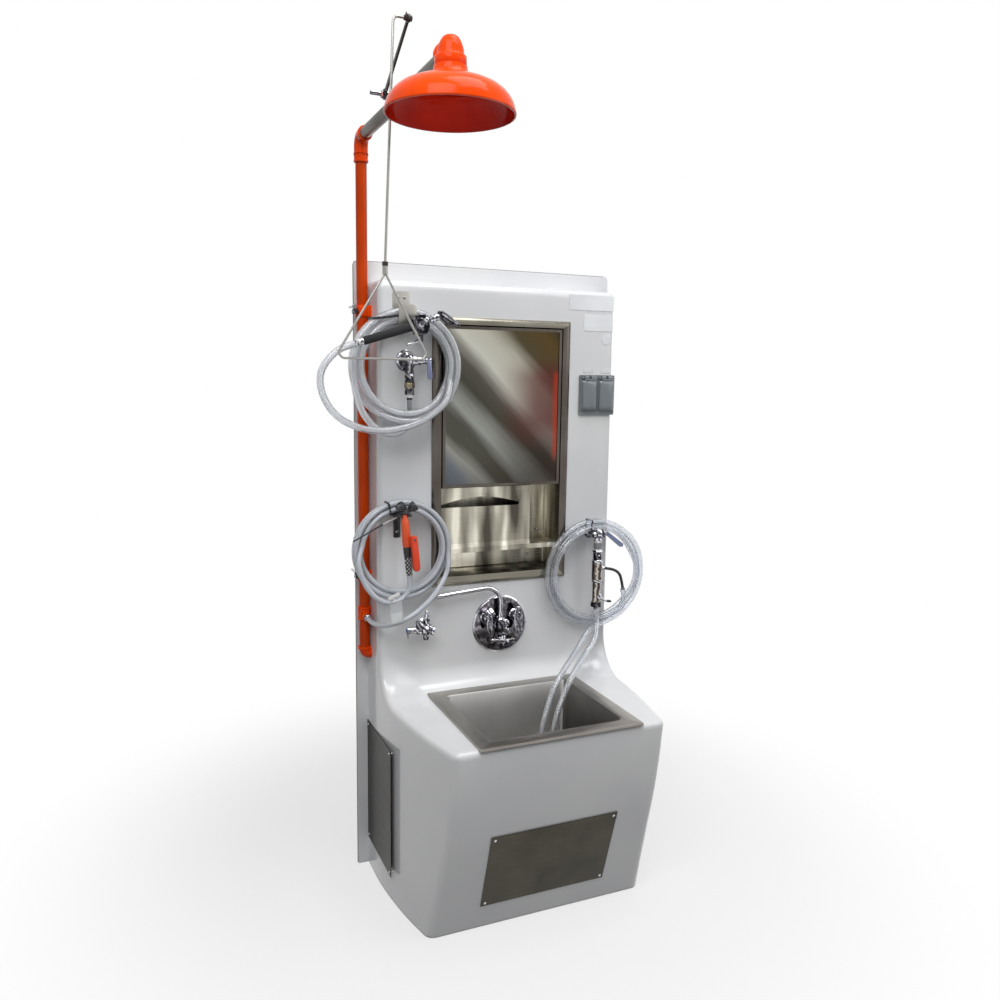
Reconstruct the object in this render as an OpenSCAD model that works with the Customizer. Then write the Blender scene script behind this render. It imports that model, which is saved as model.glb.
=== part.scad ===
// Embalming station: moulded wall body with a sink, a mirror and towel
// cabinet, a drench shower, hose sets, taps and a water aspirator.
// The origin is on the floor, at the wall plane, in the middle of the width.
// +X is to the right seen from the front, +Y goes into the wall, +Z is up.

/* [Body] */
// Height of the wall flange, the tallest part of the moulding
body_h = 1950; // [1930:5:2050]
// Width of the raised body between its side walls
body_w = 810; // [800:5:840]
// Width of flange that shows beside each side wall
flange_band = 35; // [30:1:60]
// Thickness of the wall flange
flange_t = 8; // [5:1:12]
// Thickness of the moulded shell
wall_t = 6; // [4:0.5:8]
// Depth of the upright panel in front of the wall
panel_depth = 134; // [128:1:145]
// How far the panel's top lies below the flange's top
panel_drop = 61; // [50:1:80]
// Height of the deck around the sink
deck_z = 619; // [600:1:640]
// Depth of the deck, from the wall to its front edge
deck_depth = 620; // [620:1:640]
// Width of the deck's front edge
deck_front_w = 652; // [630:2:700]
// Depth at which the side walls turn in toward the front
side_depth = 282; // [282:1:310]
// Height of the crease across the front
crease_z = 424; // [400:1:440]
// Depth of the front at the crease
crease_depth = 600; // [595:1:612]
// Depth of the front at the floor
foot_depth = 471; // [450:1:500]
// Radius of the cove between the panel and the deck
cove_r = 85; // [70:1:100]
// Radius on the panel's top edge
edge_r = 25; // [10:1:40]

/* [Sink] */
// Sideways offset of the sink from the middle
sink_x = -5; // [-20:1:20]
// Width of the sink's rim
rim_w = 510; // [480:2:540]
// Length of the sink's rim, front to back
rim_len = 451; // [430:1:451]
// Depth of the rim's back edge from the wall
rim_back = 175; // [175:1:185]
// Height of the rim above the deck
rim_h = 8; // [6:1:12]
// Width of the flat rim around the bowl
rim_band = 45; // [35:1:55]
// Thickness of the sink's sheet
sheet_t = 1.5; // [1:0.1:2]
// Depth of the bowl's side walls
bowl_depth = 225; // [180:5:230]
// Radius of the bowl's upright corners
bowl_r = 20; // [10:1:40]
// Fall of the bowl's floor to the drain
floor_fall = 14; // [8:1:20]
// Hole for the strainer in the bowl's floor
drain_d = 88; // [84:1:92]

/* [Waste] */
// Outside diameter of the waste pipe
waste_d = 38.1; // [32:0.1:40]
// Wall of the waste pipe
waste_t = 1.5; // [1:0.1:2]
// Radius of the trap's bends
trap_r = 50; // [40:1:60]
// Height of the trap's straight arm
trap_arm_z = 235; // [225:1:245]
// Height at which the trap's lower bend starts
trap_low_z = 160; // [140:1:165]

/* [Cabinet] */
// Sideways offset of the cabinet from the middle
cab_x = 1; // [-10:1:10]
// Width over the cabinet's face frame
cab_w = 468; // [460:1:480]
// Height of the face frame's bottom edge
cab_z = 954; // [940:1:970]
// Height over the face frame
cab_h = 833; // [820:1:850]
// Width of the face frame at the sides
frame_side = 29; // [24:1:36]
// Width of the face frame at the top
frame_top = 22; // [18:1:30]
// Width of the face frame at the bottom
frame_foot = 31; // [24:1:40]
// How far the face frame stands proud of the panel
frame_rise = 9; // [6:1:14]
// Depth of the recessed box behind the panel's face
box_depth = 105; // [90:1:115]
// Height of the mirror leaf
mirror_h = 494; // [460:2:500]
// Gap around the mirror leaf
mirror_gap = 4; // [3:0.5:6]
// Width of the mirror's own frame
mirror_band = 9; // [6:1:14]
// Thickness of the mirror leaf
mirror_t = 15; // [12:1:20]
// Thickness of the mirror glass
glass_t = 5; // [3:0.5:6]
// Height of the shelf above the cabinet's floor
shelf_rise = 88; // [70:1:100]
// Height of the shelf's front lip
shelf_lip = 15; // [10:1:20]
// Width of the towel dispenser
towel_w = 308; // [280:1:330]
// Height of the towel dispenser's front
towel_front_h = 130; // [110:1:140]
// Rise of the arched slot under the hood
slot_rise = 22; // [15:1:30]

/* [Plates] */
// Long side of an access plate
plate_l = 406; // [380:2:406]
// Short side of an access plate
plate_w = 265; // [240:1:266]
// Thickness of the plates
plate_t = 2; // [1:0.5:3]
// Height of the side plate above the floor
side_plate_z = 93; // [80:1:110]
// Distance of the front plate below the crease
front_plate_drop = 91; // [70:1:100]
// Margin from a plate's edge to its opening
plate_margin = 30; // [24:1:40]
// Diameter of the screws' shanks
screw_d = 4; // [3:0.1:5]
// Diameter of the screws' heads
screw_head_d = 9; // [8:0.5:12]

/* [Shower] */
// Outside diameter of the shower pipe
pipe_d = 33.4; // [30:0.1:35]
// Inside diameter of the shower pipe
pipe_bore = 26.6; // [22:0.1:28]
// Distance of the riser from the side wall
riser_out = 19; // [18:0.5:24]
// Distance of the riser from the wall plane
riser_y = 45; // [40:1:60]
// Height of the riser's foot, where it enters the body
foot_z = 737; // [725:1:760]
// Height of the shower arm
arm_z = 2297; // [2250:1:2320]
// Reach of the shower arm from the wall to the head's axis
arm_reach = 805; // [780:1:830]
// Reach at which the arm's ball valve sits
valve_reach = 460; // [440:1:480]
// Radius of the shower bell's rim
bell_r = 143; // [130:1:150]
// Height of the shower bell's dome
bell_h = 76; // [60:1:90]
// Radius of the bell's neck
bell_neck_r = 36; // [32:1:40]
// Wall of the shower bell
bell_t = 3; // [2:0.5:4]
// Length of the valve lever
lever_l = 222; // [210:1:230]
// Angle of the lever above level when shut
lever_a = 29.7; // [20:0.1:35]
// Diameter of the pull rod
rod_d = 6.35; // [5:0.05:7]
// Running clearance of hinge pins and shafts, all round
run_gap = 0.08; // [0.05:0.01:0.1]
// Width of the pull handle's triangle
handle_w = 213; // [180:1:240]
// Height of the pull handle's triangle
handle_h = 196; // [180:1:220]

/* [Taps] */
// Height of the mixing tap's centre
faucet_z = 814; // [800:1:830]
// Radius of the mixing tap's wall plate
escutcheon_r = 95; // [85:1:100]
// Half the distance between the two tap levers
lever_half = 50; // [45:1:55]
// Outside diameter of the swing spout
spout_d = 15; // [12:0.5:18]
// Length of the spout's straight arm
spout_l = 186; // [150:1:190]
// Height of the hose tap on the wall
wall_tap_z = 1654; // [1645:1:1665]
// Height of the small tap at the left
side_tap_z = 833; // [825:1:845]
// Outside diameter of the supply pipes
supply_d = 21.3; // [18:0.1:22]

/* [Hoses] */
// Diameter of the clear spray hose
spray_hose_d = 20; // [18:0.5:20]
// Diameter of the grey drench hose
drench_hose_d = 16; // [14:0.5:16]
// Diameter of the clear aspirator tubes
suction_d = 18; // [16:0.5:18]

/* [Outlet] */
// Side of the square outlet cover
cover_s = 130; // [124:1:136]
// Height of the outlet cover's middle
cover_z = 1555; // [1540:1:1570]
// Distance of the outlet cover's middle from the body's middle
cover_x = 336.5; // [330:0.5:340]
// Thickness of the outlet cover's plate
cover_t = 6; // [4:1:8]
// Depth of the outlet's flip lids
lid_depth = 15; // [12:1:20]

/* [Hidden] */
$fn = 48;
eps = 0.5;                      // overreach of a cutter past its face
open = 40;                      // reach of the shell's hollow past its open sides
clear = 1;                      // clearance of a panel cut-out around what it holds
seat = 0.3;                     // gap of a piece that rests on another one
panel_top = body_h - panel_drop;
face_y = -panel_depth;
side_x = body_w / 2;

/* Outlines of the body */
side_line = [[0, 0], [0, panel_top], [face_y, panel_top], [face_y, deck_z], [-deck_depth, deck_z],
    [-crease_depth, crease_z], [-foot_depth, 0]];
side_radii = [0, 0, edge_r, -cove_r, 14, 30, 0];
plan_line = [[-side_x, 0], [-side_x, -side_depth], [-deck_front_w / 2, -deck_depth],
    [deck_front_w / 2, -deck_depth], [side_x, -side_depth], [side_x, 0]];
plan_radii = [0, 50, 22, 22, 50, 0];
rake_a = atan((crease_depth - foot_depth) / crease_z);

/* Sink places */
rim_z = deck_z + rim_h;
bowl_w = rim_w - 2 * rim_band;
bowl_len = rim_len - 2 * rim_band;
drain_y = -(rim_back + rim_len / 2);
floor_z = rim_z - bowl_depth;
drain_z = floor_z - floor_fall;
drain_flat_d = drain_d + 34;
strainer_d = drain_d - 2;
strainer_depth = 48;
neck_len = 22;
strainer_end = drain_z - strainer_depth - neck_len;
back_leg_y = drain_y + 2 * trap_r;

/* Cabinet places */
box_w = cab_w - 2 * frame_side;
box_z = cab_z + frame_foot;
box_h = cab_h - frame_foot - frame_top;
box_top = box_z + box_h;
box_back = face_y + box_depth;
box_left = cab_x - box_w / 2;
mirror_w = box_w - 2 * mirror_gap;
mirror_z = box_top - mirror_gap - mirror_h;
mirror_y = face_y - frame_rise;
shelf_z = box_z + shelf_rise;
towel_right = box_left + towel_w;
hood_inset = 42;

/* Shower places */
riser_x = -side_x - riser_out;
band_d = pipe_d + 9;
band_l = 22;
elbow_r = 30;
clamp_zs = [1002, 1811];
tee_z = 868;
coupling_z = arm_z - 55;
valve_half = 34;
pivot_x = riser_x - 46;
pivot_y = -valve_reach;
lever_t = 7;
lever_end = [pivot_x, pivot_y - lever_l * cos(lever_a), arm_z + lever_l * sin(lever_a)];
rod_x = lever_end.x - 35;
rod_foot = [rod_x - 21, lever_end.y, 1861];
handle_apex_z = rod_foot.z - 15;
bell_rim_z = arm_z - 129;
bell_top_z = bell_rim_z + bell_h;
head_neck_l = 22;
collar_z = bell_top_z + head_neck_l;
head_band_r = 29;

/* Tap places */
faucet_x = 2.5;
spout_x = faucet_x - 8;
spout_y = face_y - 24;
spout_bend_r = 50;
spout_bend_z = 892;
spout_fall_a = 5;
stem_z = faucet_z + 26;
stem_y = face_y - 22;
wall_tap_x = -315;
wall_tap_y = face_y - 36;
wall_tip_z = 1509;
side_tap_x = -262;
side_tap_y = face_y - 38;
asp_x = 328;
asp_y = face_y - 58;
pipe_y = -62;

/* Hose coils: middle height, inner and outer radius */
spray_coil = [-326, 1636, 127, 170];
spray_coil_y = [face_y - 14, face_y - 14 - 2.2 * spray_hose_d];
drench_coil = [-336, 1087, 119, 155];
drench_coil_y = [face_y - 14, face_y - 14 - 2.2 * drench_hose_d];
suction_coil = [333, 965, 146, 181];
suction_coil_y = [face_y - 17, face_y - 17 - 2 * suction_d];
hanger_x = -329;
hanger_half = 27;
hanger_floor_z = spray_coil[1] + sqrt(spray_coil[2] ^ 2 - (hanger_half + abs(hanger_x - spray_coil[0])) ^ 2) - seat;
bracket_x = -344;
bracket_half = 11;
bracket_screw_drop = 66;
bracket_floor_z = drench_coil[1] + sqrt(drench_coil[2] ^ 2 - (bracket_half + abs(bracket_x - drench_coil[0])) ^ 2) - seat;
asp_stub_d = 22;
asp_stub_z = suction_coil[1] + suction_coil[2] - seat - asp_stub_d / 2;
asp_hub = [asp_x + 21, asp_y, asp_stub_z];
asp_blade = [64, 40];
asp_lever_drop = 206;
asp_bore_l = 30;
grip_a = [-472, -240, 1704];
grip_b = [-330, -240, 1748];
drench_top = [-344, -212, 1204];
drench_low = [-326, -212, 996];

/* Hose routes, from the coil or fitting to the far end */
spray_tail = [[-196, -191, 1580], [-212, -207, 1540], [-246, -213, 1507], [-292, -216, 1478],
    [-340, -218, 1461], [-392, -222, 1453], [-444, -228, 1454], [-494, -234, 1466],
    [-540, -238, 1490], [-574, -240, 1528], [-592, -240, 1574], [-590, -240, 1618],
    [-568, -240, 1654], [-536, -240, 1681], [-496, -240, 1696]];
drench_feed = [[-197, -172, 1068], [-196, -183, 1036], [-205, -190, 1004], [-226, -200, 974],
    [-252, -212, 947], [-286, -222, 921], [-322, -228, 898], [-360, -220, 879],
    [-392, -198, 866], [-412, -164, 859], [-422, -126, 859], [-424, -96, 862]];
drench_lead = [[-478, -172, 1066], [-474, -183, 1034], [-464, -193, 1004], [-446, -201, 974],
    [-422, -207, 950], [-390, -211, 938], [-359, -213, 944], [-338, -212, 960],
    [-328, -212, 980], [-326.4, -212, 1000], [-327.9, -212, 1017.6]];
suction_tail = [[296, -178, 801], [288, -194, 777], [270, -212, 752], [244, -232, 731],
    [208, -256, 711], [170, -284, 692], [134, -312, 670], [100, -336, 638],
    [72, -358, 598], [48, -376, 552], [32, -390, 506], [22, -400, 460], [18, -406, 424]];
discharge_run = [[328, -192, 852], [328, -193.5, 838], [327, -198, 822], [324, -206, 800],
    [315, -218, 774], [297, -234, 748], [268, -250, 725], [232, -274, 703], [196, -300, 682],
    [162, -326, 656], [132, -346, 620], [106, -362, 580], [86, -376, 536], [74, -386, 490],
    [68, -394, 446], [66, -398, 420]];

/* Points and outlines */
function unit(v) = v / norm(v);
function left_of(e) = [-e.y, e.x];

// Moves each edge of a counter-clockwise outline inward by its own distance
function inset_line(p, d) = [for (i = [0:len(p) - 1])
    let (n = len(p), b = p[i], j = (i + n - 1) % n,
        e0 = unit(b - p[j]), e1 = unit(p[(i + 1) % n] - b),
        n0 = left_of(e0), n1 = left_of(e1))
    b + n0 * d[j] + e0 * (d[i] - d[j] * (n0 * n1)) / (e0 * n1)];

// Points of one rounded corner at b, between its neighbours a and c
function corner(a, b, c, r, steps) = r == 0 ? [b]
    : let (u = unit(a - b), v = unit(c - b), half = acos(u * v) / 2,
        m = b + unit(u + v) * r / sin(half),
        s = b + u * r / tan(half) - m, e = b + v * r / tan(half) - m,
        a0 = atan2(s.y, s.x), turn = ((atan2(e.y, e.x) - a0 + 540) % 360) - 180)
    [for (k = [0:steps]) m + r * [cos(a0 + turn * k / steps), sin(a0 + turn * k / steps)]];

function round_line(p, r, steps = 6) = [for (i = [0:len(p) - 1])
    each corner(p[(i + len(p) - 1) % len(p)], p[i], p[(i + 1) % len(p)], r[i], steps)];

// A radius shrinks by t on a convex corner and grows by t on a hollow one, marked by its sign
function inner_radii(r, t) = [for (x = r) x == 0 ? 0 : x > 0 ? max(x - t, 1) : -x + t];

function box_line(w, h, r) = round_line([[-w / 2, -h / 2], [w / 2, -h / 2], [w / 2, h / 2],
    [-w / 2, h / 2]], [r, r, r, r], 4);

// Swept tube: frames carried along the route without twist, a ring at each point
function headings(p) = [for (i = [0:len(p) - 1])
    unit((i == 0 ? [0, 0, 0] : unit(p[i] - p[i - 1]))
        + (i == len(p) - 1 ? [0, 0, 0] : unit(p[i + 1] - p[i])))];
function carried(t, n, i = 0) = i == len(t) ? []
    : let (m = unit(n - t[i] * (n * t[i]))) concat([m], carried(t, m, i + 1));

module tube_along(p, d, sides = 10) {
    t = headings(p);
    n = carried(t, [0.12, 0.97, 0.21]);
    rings = [for (i = [0:len(p) - 1], k = [0:sides - 1])
        p[i] + d / 2 * (cos(360 * k / sides) * n[i] + sin(360 * k / sides) * cross(t[i], n[i]))];
    last = (len(p) - 1) * sides;
    walls = [for (i = [0:len(p) - 2], k = [0:sides - 1])
        [i * sides + k, i * sides + (k + 1) % sides, (i + 1) * sides + (k + 1) % sides,
            (i + 1) * sides + k]];
    caps = [[for (k = [sides - 1:-1:0]) k], [for (k = [0:sides - 1]) last + k]];
    polyhedron(points = rings, faces = [for (f = concat(walls, caps)) [for (k = [len(f) - 1:-1:0]) f[k]]]);
}

// Round bar from p to q
module rod(p, q, d, d2 = 0) {
    v = q - p;
    translate(p)
        rotate([0, acos(v.z / norm(v)), atan2(v.y, v.x)])
            cylinder(h = norm(v), d1 = d, d2 = d2 == 0 ? d : d2);
}

module rod_x(p, l, d) { translate(p) rotate([0, 90, 0]) cylinder(h = l, d = d); }
module rod_y(p, l, d) { translate(p) rotate([90, 0, 0]) cylinder(h = l, d = d); }
module rod_z(p, l, d) { translate(p) cylinder(h = l, d = d); }
module pipe_z(p, l, d, bore) {
    difference() {
        rod_z(p, l, d);
        rod_z(p - [0, 0, eps], l + 2 * eps, bore);
    }
}
module pipe_y(p, l, d, bore) {
    difference() {
        rod_y(p, l, d);
        rod_y(p + [0, eps, 0], l + 2 * eps, bore);
    }
}
// Six-sided nut with its axis along Z
module hex_z(p, l, across, bore = 0) {
    translate(p) difference() {
        cylinder(h = l, d = across / cos(30), $fn = 6);
        if (bore > 0) translate([0, 0, -eps]) cylinder(h = l + 2 * eps, d = bore);
    }
}
module block(lo, hi) { translate(lo) cube(hi - lo); }

// Plate in the XZ plane from an outline, front face toward -Y at y = front
module facing(front, t) { translate([0, front + t, 0]) rotate([90, 0, 0]) linear_extrude(t) children(); }

// Flat ring coil hanging against the panel
module coil(c, ys) {
    translate([c[0], ys[0], c[1]])
        rotate([90, 0, 0])
            rotate_extrude($fn = 64)
                translate([c[2], 0]) square([c[3] - c[2], ys[0] - ys[1]]);
}

// Child placed on the raked front, its own Z up the slope from the crease
module on_rake() { translate([0, -crease_depth, crease_z]) rotate([rake_a, 0, 0]) children(); }

/* Body */
module body_form(t, past) {
    wall = [-past, t, t, t, t, t, -past];
    plan_wall = [t, t, t, t, t, -past];
    intersection() {
        translate([-body_w, 0, 0])
            rotate([90, 0, 90])
                linear_extrude(2 * body_w)
                    polygon(round_line(inset_line(side_line, wall), inner_radii(side_radii, t), 8));
        translate([0, 0, -2 * open])
            linear_extrude(body_h + 4 * open)
                polygon(round_line(inset_line(plan_line, plan_wall), inner_radii(plan_radii, t)));
    }
}

module plate_opening(t) {
    block([-plate_l / 2 + plate_margin, -t, -front_plate_drop - plate_w + plate_margin],
        [plate_l / 2 - plate_margin, t, -front_plate_drop - plate_margin]);
}

module panel_bore(x, z, d) { rod_y([x, face_y + wall_t + eps, z], wall_t + 2 * eps, d); }

module body_shell() {
    color("whitesmoke")
        difference() {
            union() {
                body_form(0, 0);
                facing(-flange_t, flange_t)
                    translate([0, body_h / 2])
                        polygon(box_line(body_w + 2 * flange_band, body_h, 12));
            }
            difference() {
                body_form(wall_t, open);
                block([-side_x, -flange_t, -open - eps], [side_x, open + eps, flange_band]);
            }
            // seat and cut-out of the sink
            translate([sink_x, drain_y, deck_z])
                linear_extrude(cove_r)
                    polygon(box_line(rim_w + 2 * seat, rim_len + 2 * seat, 2));
            translate([sink_x, drain_y, deck_z - wall_t - eps])
                linear_extrude(2 * wall_t)
                    polygon(box_line(bowl_w + 2 * (sheet_t + clear), bowl_len + 2 * (sheet_t + clear),
                        bowl_r + 2));
            // cut-outs of the cabinet and the outlet box
            block([box_left - sheet_t - clear, face_y - eps, box_z - sheet_t - clear],
                [box_left + box_w + sheet_t + clear, face_y + wall_t + eps, box_top + sheet_t + clear]);
            block([cover_x - 51, face_y - eps, cover_z - 51],
                [cover_x + 51, face_y + wall_t + eps, cover_z + 51]);
            // openings behind the access plates
            on_rake() plate_opening(2 * wall_t);
            block([-side_x - eps, -flange_t - plate_w + plate_margin, side_plate_z + plate_margin],
                [-side_x + wall_t + eps, -flange_t - plate_margin, side_plate_z + plate_l - plate_margin]);
            // bores for the taps and pipes
            panel_bore(faucet_x, faucet_z, 46);
            for (s = [-1, 1]) panel_bore(faucet_x + s * lever_half, stem_z, 30);
            panel_bore(wall_tap_x, wall_tap_z, supply_d + 2);
            panel_bore(side_tap_x, side_tap_z, supply_d + 2);
            panel_bore(asp_x, asp_stub_z, asp_stub_d + 2);
            rod_x([-side_x - eps, -riser_y, foot_z], wall_t + 2 * eps, pipe_d + 2);
            // pilot holes of the screws
            screw_places() rod_z([0, 0, -screw_len], screw_len + eps, screw_d + 0.2);
        }
}

/* Sink */
module floor_form(drop) {
    translate([sink_x, drain_y, -drop])
        hull() {
            translate([0, 0, floor_z - eps])
                linear_extrude(eps)
                    polygon(box_line(bowl_w, bowl_len, bowl_r));
            translate([0, 0, drain_z]) cylinder(h = eps, d = drain_flat_d, $fn = 32);
        }
}

module sink_bowl() {
    color("silver")
        difference() {
            union() {
                translate([sink_x, drain_y, rim_z - sheet_t])
                    linear_extrude(sheet_t)
                        polygon(box_line(rim_w, rim_len, 2));
                translate([sink_x, drain_y, deck_z])
                    linear_extrude(rim_h)
                        difference() {
                            polygon(box_line(rim_w, rim_len, 2));
                            polygon(box_line(rim_w - 2 * sheet_t, rim_len - 2 * sheet_t, 1));
                        }
                translate([sink_x, drain_y, floor_z - sheet_t])
                    linear_extrude(bowl_depth + sheet_t)
                        polygon(box_line(bowl_w + 2 * sheet_t, bowl_len + 2 * sheet_t, bowl_r + sheet_t));
                floor_form(sheet_t);
            }
            translate([sink_x, drain_y, floor_z - eps])
                linear_extrude(bowl_depth + 2 * eps)
                    polygon(box_line(bowl_w, bowl_len, bowl_r));
            floor_form(0);
            rod_z([sink_x, drain_y, drain_z - 5], 10, drain_d);
        }
}

module sink_strainer() {
    color("lightgray") {
        difference() {
            union() {
                rod_z([sink_x, drain_y, drain_z], 2, strainer_d + 24);
                rod_z([sink_x, drain_y, drain_z - strainer_depth], strainer_depth + 1, strainer_d);
                rod_z([sink_x, drain_y, strainer_end], neck_len + 1, waste_d);
            }
            rod_z([sink_x, drain_y, drain_z - 30], 40, strainer_d - 4);
            rod_z([sink_x, drain_y, drain_z - strainer_depth + 2], 14, strainer_d - 4);
            rod_z([sink_x, drain_y, strainer_end - eps], neck_len + 4, waste_d - 2 * waste_t);
            for (a = [0:60:300])
                rod_z([sink_x + 18 * cos(a), drain_y + 18 * sin(a), drain_z - 36], 8, 9);
            for (a = [15:30:345])
                rod_z([sink_x + 33 * cos(a), drain_y + 33 * sin(a), drain_z - 36], 8, 9);
            rod_z([sink_x, drain_y, drain_z - 36], 8, 9);
        }
        pipe_z([sink_x, drain_y, drain_z - sheet_t - 14], 14, strainer_d + 22, strainer_d + 2 * run_gap);
    }
}

module trap_run(d) {
    low = trap_low_z;
    translate([sink_x, 0, 0]) {
        rod_z([0, drain_y, low], 60, d);
        translate([0, drain_y + trap_r, low])
            rotate([90, 0, 90])
                rotate([0, 0, 180])
                    rotate_extrude(angle = 180) translate([trap_r, 0]) circle(d = d);
        rod_z([0, back_leg_y, low], trap_arm_z - trap_r - low, d);
        translate([0, back_leg_y + trap_r, trap_arm_z - trap_r])
            rotate([90, 0, 90])
                rotate([0, 0, 90])
                    rotate_extrude(angle = 90) translate([trap_r, 0]) circle(d = d);
        rod_y([0, 0, trap_arm_z], -back_leg_y - trap_r, d);
    }
}

module waste_trap() {
    top = strainer_end;
    low = trap_low_z + 60;
    color("gainsboro") {
        pipe_z([sink_x, drain_y, low], top - low, waste_d, waste_d - 2 * waste_t);
        for (z = [top - 9, low - 9])
            pipe_z([sink_x, drain_y, z], 18, waste_d + 12, waste_d + 2 * run_gap);
        difference() {
            trap_run(waste_d);
            trap_run(waste_d - 2 * waste_t);
            rod_z([sink_x, drain_y, trap_low_z + 50], 20, waste_d - 2 * waste_t);
            rod_y([sink_x, eps, trap_arm_z], 20, waste_d - 2 * waste_t);
        }
    }
}

/* Cabinet */
module cabinet_box() {
    color("lightgray") {
        difference() {
            hull() {
                block([cab_x - cab_w / 2, face_y - 2, cab_z], [cab_x + cab_w / 2, face_y, cab_z + cab_h]);
                block([cab_x - cab_w / 2 + 12, face_y - frame_rise, cab_z + 12],
                    [cab_x + cab_w / 2 - 12, face_y, cab_z + cab_h - 12]);
            }
            block([box_left, face_y - frame_rise - eps, box_z], [box_left + box_w, face_y + eps, box_top]);
        }
        difference() {
            block([box_left - sheet_t, face_y, box_z - sheet_t],
                [box_left + box_w + sheet_t, box_back, box_top + sheet_t]);
            block([box_left, face_y - eps, box_z], [box_left + box_w, box_back - sheet_t, box_top]);
            screw_places() rod_z([0, 0, -screw_len], screw_len + eps, screw_d + 0.2);
        }
        // tabs that carry the mirror leaf
        for (side = [0, 1], z = [mirror_z + 30, mirror_z + mirror_h - 60])
            block([side == 0 ? box_left - eps : box_left + box_w - 20, mirror_y + mirror_t, z],
                [side == 0 ? box_left + 20 : box_left + box_w + eps, mirror_y + mirror_t + 3, z + 30]);
    }
}

module leaf_block(inset, y0, y1) {
    block([cab_x - mirror_w / 2 + inset, y0, mirror_z + inset],
        [cab_x + mirror_w / 2 - inset, y1, mirror_z + mirror_h - inset]);
}

module mirror_frame() {
    color("silver") {
        difference() {
            leaf_block(0, mirror_y, mirror_y + mirror_t);
            leaf_block(3, mirror_y + 3, mirror_y + mirror_t + eps);
            leaf_block(mirror_band, mirror_y - eps, mirror_y + mirror_t + eps);
        }
        leaf_block(3, mirror_y + 3 + glass_t, mirror_y + mirror_t);
    }
}

module mirror_glass() { color("lightsteelblue") leaf_block(3 + seat, mirror_y + 3, mirror_y + 3 + glass_t); }

module towel_dispenser() {
    y0 = face_y;
    z1 = shelf_z + towel_front_h;
    color("silver") {
        translate([box_left, 0, 0])
            rotate([90, 0, 90])
                linear_extrude(towel_w)
                    polygon([[y0 - 5, shelf_z], [y0 - 5 + sheet_t, shelf_z], [y0 + sheet_t, shelf_z + 14],
                        [y0 + sheet_t, z1 - 2], [y0 + 14, z1 - 2], [y0 + 14, z1], [y0, z1],
                        [y0, shelf_z + 14]]);
        block([towel_right - sheet_t, y0, shelf_z], [towel_right, box_back - sheet_t, mirror_z - 2]);
        // cheek beside the slot
        facing(y0, sheet_t)
            polygon([[towel_right - 42, z1 - 1], [towel_right, z1 - 1], [towel_right, mirror_z - 2],
                [towel_right - 22, mirror_z - 2]]);
    }
}

module towel_hood() {
    z1 = shelf_z + towel_front_h;
    right = towel_right - hood_inset;
    span = right - box_left;
    color("silver")
        facing(face_y - 3, sheet_t)
            polygon(concat(
                [for (k = [0:12]) [box_left + span * k / 12, z1 + 10 + slot_rise * sin(180 * k / 12)]],
                [[towel_right - 14, mirror_z - 2], [box_left, mirror_z - 2]]));
    color("silver")
        translate([box_left, 0, 0])
            rotate([90, 0, 90])
                linear_extrude(towel_w - 24)
                    polygon([[face_y - 3, mirror_z - 4], [face_y + 40, mirror_z - 4],
                        [face_y + 40, mirror_z - 2], [face_y - 3, mirror_z - 2]]);
}

module cabinet_shelf() {
    color("silver")
        translate([box_left, 0, 0])
            rotate([90, 0, 90])
                linear_extrude(box_w)
                    polygon([[face_y - 6, shelf_z - shelf_lip], [face_y - 6 + sheet_t, shelf_z - shelf_lip],
                        [face_y - 6 + sheet_t, shelf_z - sheet_t], [box_back - sheet_t, shelf_z - sheet_t],
                        [box_back - sheet_t, shelf_z], [face_y - 6, shelf_z]]);
}

/* Plates and screws */
screw_len = 12;
side_plate_back = -flange_t - 1;
screw_inset = 12;

// Child at each screw, its own Z pointing out of the surface, Z = 0 on the shell or box
module screw_places() {
    for (x = [-1, 1], v = [screw_inset, plate_w - screw_inset])
        on_rake()
            translate([x * (plate_l / 2 - screw_inset), 0, -front_plate_drop - v])
                rotate([90, 0, 0]) children();
    for (y = [screw_inset, plate_w - screw_inset], z = [screw_inset, plate_l - screw_inset])
        translate([-side_x, side_plate_back - y, side_plate_z + z]) rotate([0, -90, 0]) children();
    for (x = [-9, 9])
        translate([hanger_x + x, face_y, hanger_floor_z + 78]) rotate([90, 0, 0]) children();
    for (z = [30, 62])
        translate([box_left + box_w - 60, box_back - sheet_t, box_z + z]) rotate([90, 0, 0]) children();
    translate([box_left + box_w - 26, box_back - sheet_t, shelf_z + 24]) rotate([90, 0, 0]) children();
    translate([bracket_x, face_y, bracket_floor_z - bracket_screw_drop]) rotate([90, 0, 0]) children();
}

module screws() {
    color("gray") {
        screw_places()
            translate([0, 0, plate_t]) {
                rotate_extrude($fn = 24)
                    polygon([[0, 0], [screw_head_d / 2, 0], [screw_head_d / 2, 1], [screw_head_d / 4, 3], [0, 3]]);
                rod_z([0, 0, -screw_len + 1], screw_len, screw_d);
            }
        // bolts of the riser clamps
        for (z = clamp_zs) {
            rod_y([riser_x - 29, -12, z], 50, 8);
            translate([riser_x - 29, -62, z]) rotate([90, 0, 0]) hex_z([0, 0, 0], 6, 13);
        }
    }
}

module access_plates() {
    color("darkgray") {
        difference() {
            on_rake()
                block([-plate_l / 2, -plate_t, -front_plate_drop - plate_w],
                    [plate_l / 2, 0, -front_plate_drop]);
            screw_places() rod_z([0, 0, -eps], plate_t + 2 * eps, screw_d + 1);
        }
        difference() {
            block([-side_x - plate_t, side_plate_back - plate_w, side_plate_z],
                [-side_x, side_plate_back, side_plate_z + plate_l]);
            screw_places() rod_z([0, 0, -eps], plate_t + 2 * eps, screw_d + 1);
        }
    }
}

/* Shower */
module shower_riser() {
    color("orangered")
        pipe_z([riser_x, -riser_y, foot_z + 22], arm_z - elbow_r - foot_z - 22, pipe_d, pipe_bore);
}

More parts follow.
